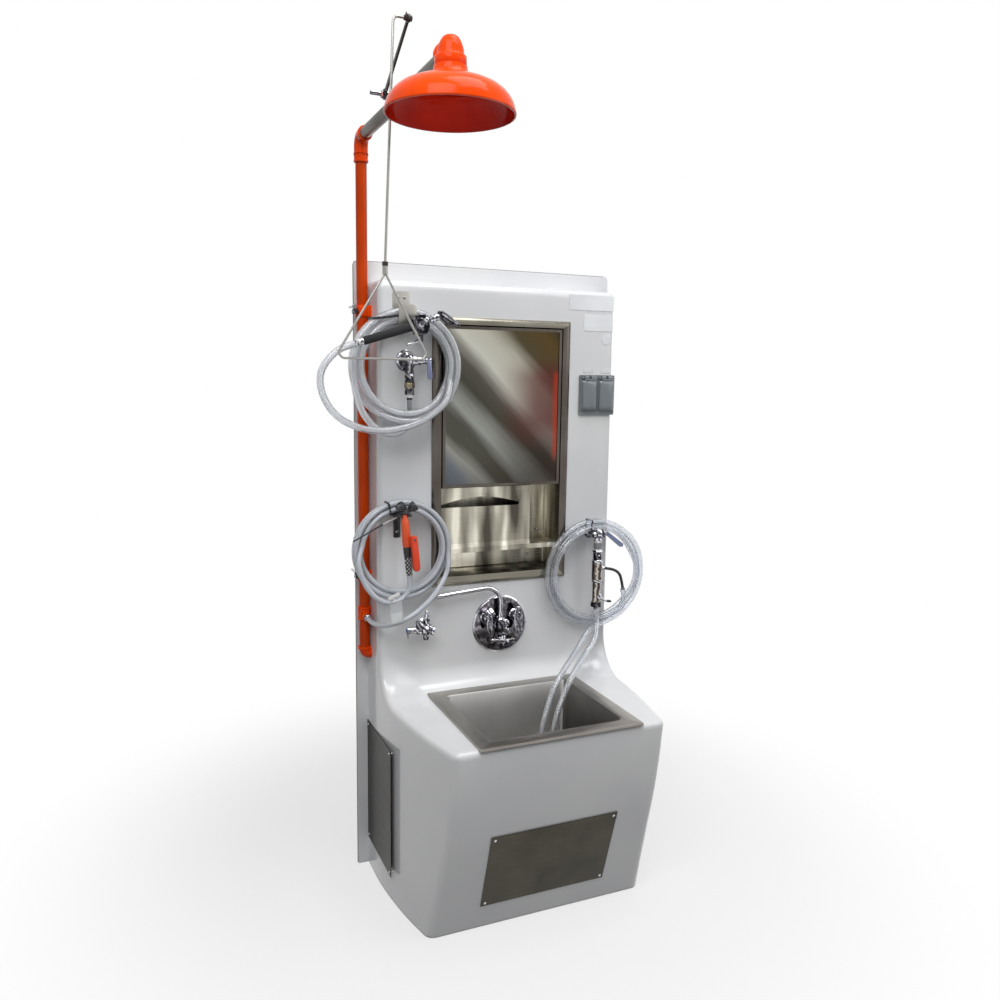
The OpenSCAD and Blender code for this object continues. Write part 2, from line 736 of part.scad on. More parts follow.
module foot_run(d) {
    rod_z([riser_x, -riser_y, foot_z], 22, d);
    translate([riser_x, -riser_y, foot_z]) sphere(d = d);
    rod_x([riser_x, -riser_y, foot_z], riser_out + wall_t + 19, d);
}

module riser_foot() {
    color("orangered")
        difference() {
            foot_run(pipe_d);
            foot_run(pipe_bore);
            rod_z([riser_x, -riser_y, foot_z + 20], 4, pipe_bore);
            rod_x([riser_x + 30, -riser_y, foot_z], riser_out + wall_t, pipe_bore);
        }
}

module riser_tee() {
    color("orangered")
        difference() {
            union() {
                rod_z([riser_x, -riser_y, tee_z - 20], 40, band_d);
                rod([riser_x, -riser_y, tee_z], [riser_x, -riser_y - 40, tee_z - 6], 25);
            }
            rod_z([riser_x, -riser_y, tee_z - 20 - eps], 40 + 2 * eps, pipe_d + 2 * run_gap);
            block([-side_x - seat, -panel_depth, tee_z - 40], [0, 0, tee_z + 40]);
        }
    color("silver") rod([riser_x, -riser_y - 40, tee_z - 6], [riser_x, -96, tee_z - 6], 20, 17);
}

module elbow_run(d) {
    translate([riser_x, -riser_y - elbow_r, arm_z - elbow_r])
        rotate([90, 0, 90]) rotate_extrude(angle = 90) translate([elbow_r, 0]) circle(d = d);
}

module riser_elbow() {
    color("orange")
        difference() {
            union() {
                elbow_run(band_d - 2);
                rod_z([riser_x, -riser_y, arm_z - elbow_r - band_l], band_l, band_d);
                rod_y([riser_x, -riser_y - elbow_r, arm_z], band_l, band_d);
            }
            elbow_run(pipe_bore);
            rod_z([riser_x, -riser_y, arm_z - elbow_r - band_l - eps], band_l + eps, pipe_d + 2 * run_gap);
            rod_y([riser_x, -riser_y - elbow_r, arm_z], band_l + eps, pipe_d + 2 * run_gap);
        }
    color("orange")
        pipe_z([riser_x, -riser_y, coupling_z - 17], 26, band_d, pipe_d + 2 * run_gap);
}

module riser_clamps() {
    color("orangered")
        for (z = clamp_zs)
            difference() {
                union() {
                    rod_z([riser_x, -riser_y, z - 19], 38, band_d + 4);
                    block([riser_x - 38, -riser_y - 16, z - 14], [riser_x, -flange_t - seat, z + 14]);
                    block([riser_x, -riser_y - 6, z - 19], [-side_x, -flange_t - seat, z + 19]);
                }
                rod_z([riser_x, -riser_y, z - 20], 40, pipe_d + 2 * run_gap);
                block([-side_x - seat, -panel_depth, z - 40], [0, 0, z + 40]);
                rod_y([riser_x - 29, -flange_t + eps, z], 60, 8 + 2 * run_gap);
            }
}

module shower_arm() {
    color("silver") {
        pipe_y([riser_x, -riser_y - elbow_r, arm_z], valve_reach - valve_half - riser_y - elbow_r,
            pipe_d, pipe_bore);
        pipe_y([riser_x, -valve_reach - valve_half, arm_z],
            arm_reach - 34 - valve_reach - valve_half, pipe_d, pipe_bore);
    }
}

module shower_valve() {
    color("silver")
        difference() {
            union() {
                translate([riser_x, -valve_reach, arm_z]) sphere(d = 50);
                for (s = [-1, 1])
                    translate([riser_x, -valve_reach + s * 24, arm_z])
                        rotate([90, 0, 0]) translate([0, 0, -10]) hex_z([0, 0, 0], 20, 42);
                rod_x([riser_x - 36, -valve_reach, arm_z], 30, 18);
                rod_x([pivot_x - 14, -valve_reach, arm_z], 24, 10);
            }
            rod_y([riser_x, -valve_reach + valve_half + eps, arm_z], 2 * valve_half + 2 * eps, 24);
        }
}

module shower_lever() {
    blade_t = lever_t - 1.5;
    color("silver")
        difference() {
            union() {
                rod_x([pivot_x - lever_t / 2, pivot_y, arm_z], lever_t, 26);
                translate([pivot_x - blade_t / 2, pivot_y, arm_z])
                    rotate([-lever_a, 0, 0])
                        block([0, -lever_l + 4, -5], [blade_t, -6, 5]);
                rod_x([pivot_x - lever_t / 2, lever_end.y, lever_end.z], lever_t, 18);
            }
            rod_x([pivot_x - 20, pivot_y, arm_z], 40, 10 + 2 * run_gap);
            rod_x([pivot_x - 20, lever_end.y, lever_end.z], 40, rod_d + 2 * run_gap);
        }
}

module pull_rod() {
    color("silver") {
        rod_x([rod_x, lever_end.y, lever_end.z], lever_end.x - rod_x + lever_t / 2 + 5, rod_d);
        rod_x([lever_end.x + lever_t / 2 + 1, lever_end.y, lever_end.z], 3, 11);
        translate([rod_x, lever_end.y, lever_end.z]) sphere(d = rod_d + 0.6);
        rod([rod_x, lever_end.y, lever_end.z], rod_foot, rod_d);
    }
}

module pull_handle() {
    wire = 5.5;
    turn = 12;
    y = rod_foot.y;
    top = [rod_foot.x, handle_apex_z];
    left = [rod_foot.x - handle_w * 0.525, handle_apex_z - handle_h * 0.93];
    right = [left.x + handle_w, left.y];
    left_low = [left.x + 9, handle_apex_z - handle_h];
    right_low = [right.x - 9, left_low.y];
    loop = concat([top + [-1.5, 8], top + [-2, -2]], corner(top, left, left_low, 5, 3),
        corner(left, left_low, right_low, turn, 4), corner(left_low, right_low, right, turn, 4),
        corner(right_low, right, top, 5, 3), [top + [2, -2], top + [1.5, 8]]);
    color("silver") {
        tube_along([for (p = loop) [p.x, y, p.y]], wire, 12);
        difference() {
            rod_z([rod_foot.x, y, handle_apex_z - 4], rod_foot.z - handle_apex_z + 20, 13);
            rod_z([rod_foot.x, y, rod_foot.z], 30, rod_d + 2);
        }
    }
}

module head_elbow() {
    y = -arm_reach;
    color("orange")
        difference() {
            union() {
                translate([riser_x, y, arm_z]) sphere(r = 32);
                rod_y([riser_x, y + 38, arm_z], 38, 2 * head_band_r);
                rod_z([riser_x, y, collar_z], arm_z - collar_z, 2 * head_band_r);
                rod_z([riser_x, y, collar_z], 20, 69);
            }
            rod_y([riser_x, y + 38 + eps, arm_z], 38 - 34 + eps + 30, pipe_d + 2 * run_gap);
            rod_z([riser_x, y, collar_z - 4 * eps], arm_z - collar_z, pipe_bore);
        }
}

// Outer line of the bell from its neck to its rim, grown inward by t
function bell_line(t) = concat([[bell_neck_r - t, bell_top_z + head_neck_l]],
    [for (a = [0:9:90]) [bell_neck_r - t + (bell_r - bell_neck_r) * sin(a),
        bell_rim_z + (bell_h - t) * cos(a)]]);

module shower_bell() {
    inner = bell_line(bell_t);
    color("orange")
        translate([riser_x, -arm_reach, 0])
            difference() {
                rotate_extrude($fn = 64)
                    polygon(concat(bell_line(0), [for (k = [len(inner) - 1:-1:0]) inner[k]]));
                translate([0, 0, bell_rim_z - 10]) cylinder(h = 10, r = bell_r + 5);
            }
    color("orange")
        pipe_z([riser_x, -arm_reach, bell_top_z + head_neck_l - 6], 6, 2 * bell_neck_r, pipe_bore);
}

module shower_deflector() {
    color("darkred") {
        rod_z([riser_x, -arm_reach, bell_top_z - 24], 4, 112);
        rod_z([riser_x, -arm_reach, bell_top_z - 21], head_neck_l + 15 + 12, 12);
        difference() {
            rod_z([riser_x, -arm_reach, bell_top_z + head_neck_l - 10], 4, 2 * (bell_neck_r - bell_t));
            for (a = [45:90:315])
                rod_z([riser_x + 20 * cos(a), -arm_reach + 20 * sin(a), bell_top_z + head_neck_l - 11], 6, 14);
        }
    }
}

/* Spray hose set at the upper left */
hanger_lip_y = spray_coil_y[1] - 4;
module hose_hanger() {
    w = 2 * hanger_half;
    color("silver")
        difference() {
            union() {
                block([hanger_x - w / 2, face_y - plate_t, hanger_floor_z - 2],
                    [hanger_x + w / 2, face_y, hanger_floor_z + 92]);
                block([hanger_x - w / 2, hanger_lip_y, hanger_floor_z - 2],
                    [hanger_x + w / 2, face_y, hanger_floor_z]);
                block([hanger_x - w / 2, hanger_lip_y - 2, hanger_floor_z - 2],
                    [hanger_x + w / 2, hanger_lip_y, hanger_floor_z + 44]);
            }
            screw_places() rod_z([0, 0, -eps], plate_t + 2 * eps, screw_d + 1);
        }
}

module spray_hose_coil() { color("aliceblue") coil(spray_coil, spray_coil_y); }
module spray_hose_tail() { color("aliceblue") tube_along(spray_tail, spray_hose_d); }

module spray_grip() {
    axis = unit(grip_b - grip_a);
    color("black") rod(grip_a, grip_b, 24);
    color("silver") rod(grip_a - axis * 24, grip_a, 17, 22);
}

valve_c = grip_b + unit(grip_b - grip_a) * 24;
module spray_valve() {
    color("dimgray") {
        rod(grip_b, valve_c, 20);
        rod_y(valve_c + [0, 17, 0], 34, 42);
        rod_z([valve_c.x + 2, valve_c.y, valve_c.z - 34], 64, 30);
        rod(valve_c + [12, 0, 8], valve_c + [46, 0, 20], 16);
        // yoke that hooks the valve on the hanger's lip
        block([valve_c.x - 12, valve_c.y + 10, valve_c.z + 4],
            [valve_c.x + 12, hanger_lip_y - 2 - seat, valve_c.z + 24]);
        // cheeks and pin of the trigger
        for (s = [-1, 1])
            block([trigger_pivot.x - 6, trigger_pivot.y + s * 9 - 2, trigger_pivot.z - 7],
                [trigger_pivot.x + 6, trigger_pivot.y + s * 9 + 2, trigger_pivot.z + 16]);
        rod_y(trigger_pivot + [0, 9, 0], 18, 5);
    }
}

trigger_pivot = valve_c + [2, 0, -42];
module spray_trigger() {
    u = unit(grip_b - grip_a);
    color("silver")
        difference() {
            union() {
                rod_y(trigger_pivot + [0, 6.7, 0], 13.4, 12);
                rod(trigger_pivot, trigger_pivot - u * 38 - [0, 0, 4], 7);
            }
            rod_y(trigger_pivot + [0, 10, 0], 20, 5 + 2 * run_gap);
        }
}

module wall_tap() {
    x = wall_tap_x;
    z = wall_tap_z;
    y = wall_tap_y;
    color("silver")
        difference() {
            union() {
                rod([x, face_y, z], [x, face_y - 9, z], 64, 44);
                rod_y([x, face_y + wall_t + 20, z], wall_t + 20 - y + face_y, supply_d);
                translate([x, y, z]) sphere(d = 30);
                rod_z([x, y, z - 52], 52, 26);
                hex_z([x, y, z - 74], 22, 27);
                rod_z([x, y, z - 80], 8, 20);
                hex_z([x, y, z - 102], 24, 29);
                rod_z([x, y, z - 120], 20, 22);
                rod_z([x, y, wall_tip_z], z - 118 - wall_tip_z, 15);
                rod_x([x, y, z], 48, 17);
            }
            rod_x([x + 36, y, z], 20, 8 + 2 * run_gap);
            rod_z([x, y, wall_tip_z - eps], 30, 9);
        }
}

// Lever on the end of a stem along X, its blade reaching out by run and down by drop
module stem_lever(p, hub_l, hub_d, run, drop) {
    color("silver") {
        rod_x(p + [seat, 0, 0], hub_l, hub_d);
        rod_x(p - [11, 0, 0], 13, 8);
        hull() {
            rod(p + [hub_l / 2, 0, 0], p + [hub_l / 2, -4, 0], 14);
            rod(p + [run, -6, -drop], p + [run, -10, -drop], 13);
        }
    }
}
module wall_tap_lever() { stem_lever([wall_tap_x + 48, wall_tap_y, wall_tap_z], 18, 19, 14, 48); }

/* Drench hose set at the lower left */
module drench_bracket() {
    z = bracket_floor_z;
    y = drench_top.y;
    color("black")
        difference() {
            union() {
                block([bracket_x - bracket_half, face_y - plate_t, z - 84], [bracket_x + bracket_half, face_y, z]);
                block([bracket_x - bracket_half, y + 14, z - 8], [bracket_x + bracket_half, face_y, z]);
                block([bracket_x - 20, y - 10, z - 8], [bracket_x + 20, y + 16, z]);
            }
            rod_z([drench_top.x, y, z - 9], 10, 23);
            block([drench_top.x - 9, y - 12, z - 9], [drench_top.x + 9, y, z + 1]);
            screw_places() rod_z([0, 0, -eps], plate_t + 2 * eps, screw_d + 1);
        }
}

module drench_heads() {
    z = bracket_floor_z + 6;
    p = [drench_top.x, drench_top.y, z];
    color("dimgray") {
        rod_z([p.x, p.y, bracket_floor_z + seat], 14, 30);
        for (s = [-1, 1]) {
            rod(p + [0, 0, 6], p + [s * 26, -2, 14], 14);
            rod(p + [s * 26, -2, 10], p + [s * 30, -4, 32], 24, 30);
        }
    }
}

module drench_handle() {
    u = unit(drench_low - drench_top);
    z = bracket_floor_z - 30;
    color("darkorange") {
        rod_z([drench_top.x, drench_top.y, z], bracket_floor_z - seat - z, 20);
        rod([drench_top.x, drench_top.y, z + 8], drench_top + u * 100, 24, 27);
        // lug that carries the squeeze lever
        rod_y([drench_pivot.x, drench_top.y, drench_pivot.z], drench_top.y - drench_pivot.y - seat, 11);
    }
    color("black")
        rod(drench_top + u * 99, drench_low - u * 22, 25, 17);
}

drench_pivot = [drench_top.x + 22, drench_top.y - 15, drench_top.z - 74];
module drench_lever() {
    color("orangered")
        hull() {
            rod_y([drench_pivot.x, drench_pivot.y, drench_pivot.z], 18, 16);
            rod_y([drench_pivot.x + 9, drench_pivot.y, drench_pivot.z - 94], 18, 22);
        }
}

module drench_hose_coil() { color("lightslategray") coil(drench_coil, drench_coil_y); }
module drench_hose_feed() { color("lightslategray") tube_along(drench_feed, drench_hose_d); }
module drench_hose_lead() { color("lightslategray") tube_along(drench_lead, drench_hose_d); }

// Tie around a coil at an angle from its top, with a stub of its tail
module coil_tie(c, ys, a) {
    translate([c[0], ys[0], c[1]])
        rotate([0, a, 0])
            difference() {
                block([-2.5, ys[1] - ys[0] - 2, c[2] - 2], [2.5, 2, c[3] + 2]);
                block([-3, ys[1] - ys[0] - seat, c[2] - seat - 0.6], [3, seat, c[3] + seat]);
            }
}

module hose_ties() {
    color("black") {
        coil_tie(spray_coil, spray_coil_y, -24);
        coil_tie(drench_coil, drench_coil_y, -20);
        coil_tie(suction_coil, suction_coil_y, -6);
    }
}

module side_tap() {
    x = side_tap_x;
    y = side_tap_y;
    z = side_tap_z;
    color("silver")
        difference() {
            union() {
                rod([x, face_y, z], [x, face_y - 8, z], 50, 38);
                rod_y([x, face_y + wall_t + 20, z], wall_t + 20 - y + face_y, supply_d);
                rod_x([x - 38, y, z], 56, 30);
                rod_x([x - 52, y, z], 20, 20);
                rod_z([x, y, z - 34], 34, 18);
                rod_z([x, y, z], 58, 11);
                rod_z([x, y, z + 20], 18, 20);
            }
            rod_x([x - 60, y, z], 30, 8 + 2 * run_gap);
            rod_z([x, y, z - 36], 20, 12);
        }
}

module side_tap_handle() {
    x = side_tap_x - 52;
    color("silver") {
        rod_x([x - 10, side_tap_y, side_tap_z], 10 - seat, 22);
        rod_x([x - 8, side_tap_y, side_tap_z], 20, 8);
        block([x - 10, side_tap_y - 5, side_tap_z - 26], [x - 4, side_tap_y + 5, side_tap_z]);
    }
}

/* Mixing tap */
module faucet_escutcheon() {
    color("silver")
        difference() {
            translate([faucet_x, face_y, faucet_z])
                rotate([90, 0, 0])
                    rotate_extrude($fn = 96)
                        polygon([[0, 0], [escutcheon_r, 0], [escutcheon_r, 2], [escutcheon_r - 6, 5],
                            [0, 8]]);
            rod_y([faucet_x, face_y + eps, faucet_z], 12, 44 + 1);
            for (s = [-1, 1]) rod_y([faucet_x + s * lever_half, face_y + eps, stem_z], 12, 29);
        }
}

module faucet_body() {
    color("silver")
        difference() {
            union() {
                rod_x([faucet_x - 72, -90, faucet_z], 144, 42);
                rod_y([faucet_x, -90, faucet_z], panel_depth - 90 + 8, 44);
                rod_z([spout_x, spout_y, faucet_z - 12], 26, 26);
                rod_y([spout_x, face_y - 4, faucet_z], 26, 22);
                for (s = [-1, 1]) {
                    rod([faucet_x + s * lever_half, -90, faucet_z], [faucet_x + s * lever_half, -90, stem_z], 28);
                    rod_y([faucet_x + s * lever_half, -90, stem_z], panel_depth - 90 + 22, 28);
                    rod_z([faucet_x + s * 60, -90, faucet_z - 44], 44, supply_d + 8);
                }
            }
            rod_z([spout_x, spout_y, faucet_z - 6], 40, spout_d + 2 * run_gap);
            for (s = [-1, 1]) {
                rod_y([faucet_x + s * lever_half, stem_y + 20, stem_z], 30, 9 + 2 * run_gap);
                rod_z([faucet_x + s * 60, -90, faucet_z - 45], 20, supply_d + 2 * run_gap);
            }
        }
}

// Lever blade on its hub: s is the side, up and down are the blade's reach
module tap_lever(s, up, down) {
    x = faucet_x + s * lever_half;
    color("silver") {
        rod_y([x, stem_y - seat, stem_z], 18, 30);
        rod_y([x, stem_y + 14, stem_z], 20, 9);
        block([x - 7, stem_y - 18, stem_z - down], [x + 7, stem_y - 12, stem_z + up]);
        rod_y([x, stem_y - 12, stem_z - down], 6, 18);
        rod_y([x, stem_y - 12, stem_z + up], 6, 14);
    }
}
module hot_lever() { tap_lever(-1, 20, 44); }
module cold_lever() { tap_lever(1, 34, 52); }

module swing_spout() {
    top = [spout_x - spout_bend_r, spout_y, spout_bend_z + spout_bend_r];
    fall = [cos(spout_fall_a), 0, sin(spout_fall_a)];
    bend = [for (a = [0:15:90]) top + spout_bend_r * [cos(a), 0, sin(a) - 1]];
    start = [spout_x, spout_y, spout_bend_z - 12];
    color("silver") {
        rod_z([spout_x, spout_y, faucet_z - 4], spout_bend_z - faucet_z, spout_d);
        rod_z([spout_x, spout_y, faucet_z + 14 + seat], 10, 23);
        difference() {
            tube_along(concat([start], bend, [top - spout_l * fall]), spout_d - 0.2, 16);
            rod(top - (spout_l - 30) * fall, top - (spout_l + 2) * fall, spout_d - 3);
        }
    }
}

/* Aspirator at the right */
asp_side = [for (p = [[8, 988], [30, 983], [58, 977], [77, 968], [89, 955], [95, 938], [99, 922],
    [102, 905]]) [asp_x + p[0], asp_y, p[1]]];
module aspirator() {
    p = [asp_x, asp_y, 0];
    top = asp_stub_z;
    color("silver")
        difference() {
            union() {
                rod([asp_x, face_y, top], [asp_x, face_y - 8, top], 44, 34);
                rod_y([asp_x, face_y + wall_t + 20, top], wall_t + 20 - asp_y + face_y, asp_stub_d);
                translate([asp_x, asp_y, top]) sphere(d = asp_stub_d);
                rod_x([asp_x, asp_y, asp_hub.z], asp_hub.x - asp_x, 17);
                rod_z(p + [0, 0, top - 34], 34, 21);
                rod_z(p + [0, 0, top - 60], 26, 28);
                hex_z(p + [0, 0, top - 86], 26, 29);
                rod_z(p + [0, 0, top - 176], 90, 36);
                rod_z(p + [0, 0, top - 236], 60, 26);
                rod_z(p + [0, 0, top - 246], 12, 38);
                rod_z(p + [0, 0, 846], top - 246 - 846 + 2, suction_d - 5);
                tube_along(asp_side, 12);
            }
            rod_y([asp_x, asp_y - 5, top - asp_lever_drop], asp_bore_l, 8 + 2 * run_gap);
            rod_x(asp_hub - [12, 0, 0], 20, 8 + 2 * run_gap);
        }
}

module aspirator_tap_lever() { stem_lever(asp_hub, 22, 15, asp_blade[0], asp_blade[1]); }

module aspirator_lever() {
    z = asp_stub_z - asp_lever_drop;
    y = asp_y - 18;
    color("silver") {
        rod_y([asp_x, asp_y - 7, z], 16, 8);
        rod_y([asp_x, y, z], 6, 16);
        hull() {
            rod_y([asp_x, y - 1, z], 5, 10);
            rod_y([asp_x + 42, y - 1, z - 22], 5, 8);
        }
    }
}

module suction_tube_coil() { color("lavender") coil(suction_coil, suction_coil_y); }
module suction_tube_tail() { color("lavender") tube_along(suction_tail, suction_d); }
module discharge_tube() { color("lavender") tube_along(discharge_run, suction_d); }

/* Outlet */
lid_w = cover_s / 2 - 5;
lid_h = cover_s - 22;
hinge_y = face_y - cover_t - 5;
hinge_z = cover_z + cover_s / 2 - 9;
lid_xs = [cover_x - lid_w / 2 - 1.5, cover_x + lid_w / 2 + 1.5];

module outlet_cover() {
    color("gray")
        difference() {
            union() {
                facing(face_y - cover_t, cover_t)
                    translate([cover_x, cover_z]) polygon(box_line(cover_s, cover_s, 6));
                for (x = lid_xs, s = [-1, 1])
                    translate([x + s * (lid_w / 2 - 6), 0, 0]) {
                        block([-4, hinge_y - 3, hinge_z - 3], [4, face_y - cover_t + eps, hinge_z + 3]);
                    }
                for (x = lid_xs) rod_x([x - lid_w / 2 + 4, hinge_y, hinge_z], lid_w - 8, 3);
            }
            for (x = lid_xs)
                block([x - 18, face_y - cover_t - eps, cover_z - 36], [x + 18, face_y + eps, cover_z + 36]);
        }
}

module outlet_receptacles() {
    color("dimgray")
        for (x = lid_xs)
            difference() {
                block([x - 17.5, face_y - cover_t + 1, cover_z - 35], [x + 17.5, face_y + 34, cover_z + 35]);
                for (z = [-18, 18]) {
                    for (s = [-1, 1])
                        block([x + s * 6 - 1, face_y - cover_t, cover_z + z - 3],
                            [x + s * 6 + 1, face_y, cover_z + z + 6]);
                    rod_y([x, face_y, cover_z + z - 9], cover_t + 1, 5);
                }
            }
    color("gray")
        difference() {
            block([cover_x - 50, face_y, cover_z - 50], [cover_x + 50, face_y + 60, cover_z + 50]);
            block([cover_x - 48, face_y - eps, cover_z - 48], [cover_x + 48, face_y + 58, cover_z + 48]);
            rod_z([cover_x, face_y + 30, cover_z - 52], 5, supply_d);
        }
    // straps that hold the receptacles in the box
    color("gray")
        for (x = lid_xs, s = [-1, 1])
            block([x - 8, face_y, s > 0 ? cover_z + 35 : cover_z - 48],
                [x + 8, face_y + 2, s > 0 ? cover_z + 48 : cover_z - 35]);
}

module outlet_lid(i) {
    x = lid_xs[i];
    front = face_y - cover_t - lid_depth;
    color([0.75, 0.8, 0.85, 0.6])
        difference() {
            union() {
                block([x - lid_w / 2, front, hinge_z - lid_h], [x + lid_w / 2, face_y - cover_t - seat, hinge_z - 5]);
                rod_x([x - lid_w / 2 + 11, hinge_y, hinge_z], lid_w - 22, 7);
                block([x - lid_w / 2 + 11, front, hinge_z - 6], [x + lid_w / 2 - 11, hinge_y, hinge_z]);
            }
            block([x - lid_w / 2 + 2, front + 2, hinge_z - lid_h + 2],
                [x + lid_w / 2 - 2, face_y - cover_t + 1, hinge_z - 8]);
            rod_x([x - lid_w / 2, hinge_y, hinge_z], lid_w, 3 + 2 * run_gap);
        }
}
module outlet_lid_left() { outlet_lid(0); }
module outlet_lid_right() { outlet_lid(1); }

/* Blank plates on the panel */
// Each plate: sideways from the outlet cover, drop below the panel's top, width, height
plates = [[-25.5, 39, 162, 48], [1, 102, 107, 52]];
seal = [31.5, 154, 34];
tag = [38, 12];

module nameplates() {
    color("lightgray") {
        for (p = plates)
            block([cover_x + p[0] - p[2] / 2, face_y - 1, panel_top - p[1] - p[3] / 2],
                [cover_x + p[0] + p[2] / 2, face_y, panel_top - p[1] + p[3] / 2]);
        rod_y([cover_x + seal[0], face_y, panel_top - seal[1]], 1, seal[2]);
    }
    color("black")
        for (x = lid_xs)
            block([x - tag.x / 2, face_y - 1, cover_z + cover_s / 2 + tag.y - 5],
                [x + tag.x / 2, face_y, cover_z + cover_s / 2 + 2 * tag.y - 5]);
}

/* Pipes behind the panel */
module supply_run(d, past) {
    manifold_z = 665;
    // cold main from the wall, tee to the riser, the taps and the aspirator
    rod_x([-side_x + wall_t + 20, pipe_y, manifold_z], asp_x + side_x - wall_t - 20 + past, d);
    rod_z([wall_tap_x, pipe_y, manifold_z], wall_tap_z - manifold_z, d);
    rod_z([side_tap_x, pipe_y, manifold_z], side_tap_z - manifold_z, d);
    rod_z([asp_x, pipe_y, manifold_z], asp_stub_z - manifold_z, d);
    for (p = [[wall_tap_x, wall_tap_z], [side_tap_x, side_tap_z], [asp_x, asp_stub_z]]) {
        translate([p[0], pipe_y, p[1]]) sphere(d = d);
        rod_y([p[0], pipe_y, p[1]], -pipe_y + face_y < 0 ? panel_depth + pipe_y - wall_t - 20 + past : 1, d);
    }
    // riser feed
    rod_z([-side_x + wall_t + 30, pipe_y + 17, manifold_z], foot_z - manifold_z, d);
    rod_y([-side_x + wall_t + 30, pipe_y + 17, manifold_z], 17, d);
}

// Sockets of the elbows that turn the drops back to the wall
drop_z = 560;
socket_l = 22;
module supply_pipes() {
    color("peru") {
        supply_run(supply_d, 0);
        for (s = [-1, 1]) {
            x = faucet_x + s * 60;
            rod_z([x, -90, drop_z], faucet_z - 28 - drop_z, supply_d);
            translate([x, -90, drop_z]) sphere(d = supply_d + 8);
            rod_z([x, -90, drop_z], socket_l, supply_d + 8);
            rod_y([x, -90 + socket_l, drop_z], socket_l, supply_d + 8);
            rod_y([x, 0, drop_z], 90, supply_d);
        }
    }
}

body_shell();
sink_bowl();
sink_strainer();
waste_trap();
cabinet_box();
mirror_frame();
mirror_glass();
towel_dispenser();
towel_hood();
cabinet_shelf();
access_plates();
screws();
shower_riser();
riser_foot();
riser_tee();
riser_elbow();
riser_clamps();
shower_arm();
shower_valve();
shower_lever();
pull_rod();
pull_handle();
head_elbow();
shower_bell();
shower_deflector();
hose_hanger();
spray_hose_coil();
spray_hose_tail();
spray_grip();
spray_valve();
spray_trigger();
wall_tap();
wall_tap_lever();
drench_bracket();
drench_heads();
drench_handle();
drench_lever();
drench_hose_coil();
drench_hose_feed();
drench_hose_lead();
hose_ties();
side_tap();
side_tap_handle();
faucet_escutcheon();
faucet_body();
hot_lever();
cold_lever();
swing_spout();
aspirator();
aspirator_tap_lever();
aspirator_lever();
suction_tube_coil();
suction_tube_tail();
discharge_tube();
outlet_cover();
outlet_receptacles();
outlet_lid_left();
outlet_lid_right();
nameplates();
supply_pipes();
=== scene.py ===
from math import sin, cos, tan, pi, radians, atan2, hypot
import bpy
import bmesh
import numpy as np
from mathutils import Vector, Matrix


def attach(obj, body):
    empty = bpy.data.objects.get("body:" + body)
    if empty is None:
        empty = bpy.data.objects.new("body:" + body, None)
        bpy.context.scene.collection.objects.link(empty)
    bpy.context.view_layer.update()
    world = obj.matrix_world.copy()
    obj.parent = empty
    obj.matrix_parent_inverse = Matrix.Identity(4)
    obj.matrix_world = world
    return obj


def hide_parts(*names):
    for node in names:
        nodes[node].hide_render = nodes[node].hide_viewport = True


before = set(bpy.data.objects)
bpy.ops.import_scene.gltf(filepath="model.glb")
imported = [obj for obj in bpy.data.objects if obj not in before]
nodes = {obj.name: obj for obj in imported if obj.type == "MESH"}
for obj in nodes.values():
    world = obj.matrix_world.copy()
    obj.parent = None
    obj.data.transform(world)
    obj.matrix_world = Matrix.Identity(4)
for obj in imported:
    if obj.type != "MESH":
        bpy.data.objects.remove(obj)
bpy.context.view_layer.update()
scene = bpy.context.scene
mm = 0.001

# main sizes of the moulding, in metres
body = {
    "height": 1.950, "halfWidth": 0.405, "flangeHalf": 0.440, "flangeThick": 0.008,
    "panelDepth": 0.134, "panelTop": 1.889, "deckZ": 0.619, "deckDepth": 0.620,
    "frontHalf": 0.329, "kinkDepth": 0.282, "creaseZ": 0.424, "creaseDepth": 0.600,
    "footDepth": 0.471, "footTurn": 0.0224, "thick": 0.006,
    "edgeRound": 0.020, "deckRound": 0.016, "creaseRound": 0.030, "topRound": 0.026,
    "coveMid": 0.075, "coveSide": 0.125, "coveFrom": 0.27, "coveSpan": 0.10, "sideRound": 0.05,
    "cell": 0.008, "grid": ((-0.420, 0.4201), (-0.636, 0.0041), (-0.004, 1.910)),
    "flangeHole": (0.396, 0.035, 1.870), "darkStripOut": 1.3, "darkStripIn": 9, "darkStripOver": 2,
}
# openings cut in the body's skin: middle and half across, middle and half along, and the level it is cut from
openings = {"sink": (-0.005, 0.224, -0.4005, 0.194, 0.60), "cabinet": (0.001, 0.217, 1.375, 0.402, -0.12)}
# front of the upper panel, in metres and in mm
face = -body["panelDepth"]
panelY = face * 1000

# directions of turned parts: the wall is behind at y 0, and the viewer stands at negative y
toFront, toWall = (0, -1, 0), (0, 1, 0)
toLeft, toRight = (-1, 0, 0), (1, 0, 0)
toFloor, toTop = (0, 0, -1), (0, 0, 1)


# camera

camera = {"place": (-1.1001, -2.6612, 1.6197), "yaw": 23.4845, "pitch": 8.2454, "roll": 0.8744, "lens": 31.38}


def addCamera():
    yaw, pitch, roll = (radians(camera[k]) for k in ("yaw", "pitch", "roll"))
    ahead = Vector((sin(yaw) * cos(pitch), cos(yaw) * cos(pitch), -sin(pitch)))
    right = Vector((cos(yaw), -sin(yaw), 0))
    up = right.cross(ahead)
    right, up = right * cos(roll) + up * sin(roll), up * cos(roll) - right * sin(roll)
    data = bpy.data.cameras.new("camera")
    data.sensor_width = 36
    data.lens = camera["lens"]
    data.clip_start, data.clip_end = 0.05, 50
    seen = bpy.data.objects.new("camera", data)
    turn = Matrix((right, up, -ahead)).transposed().to_4x4()
    seen.matrix_world = Matrix.Translation(camera["place"]) @ turn
    scene.collection.objects.link(seen)
    scene.camera = seen


addCamera()
print("camera placed")


# node and colour helpers

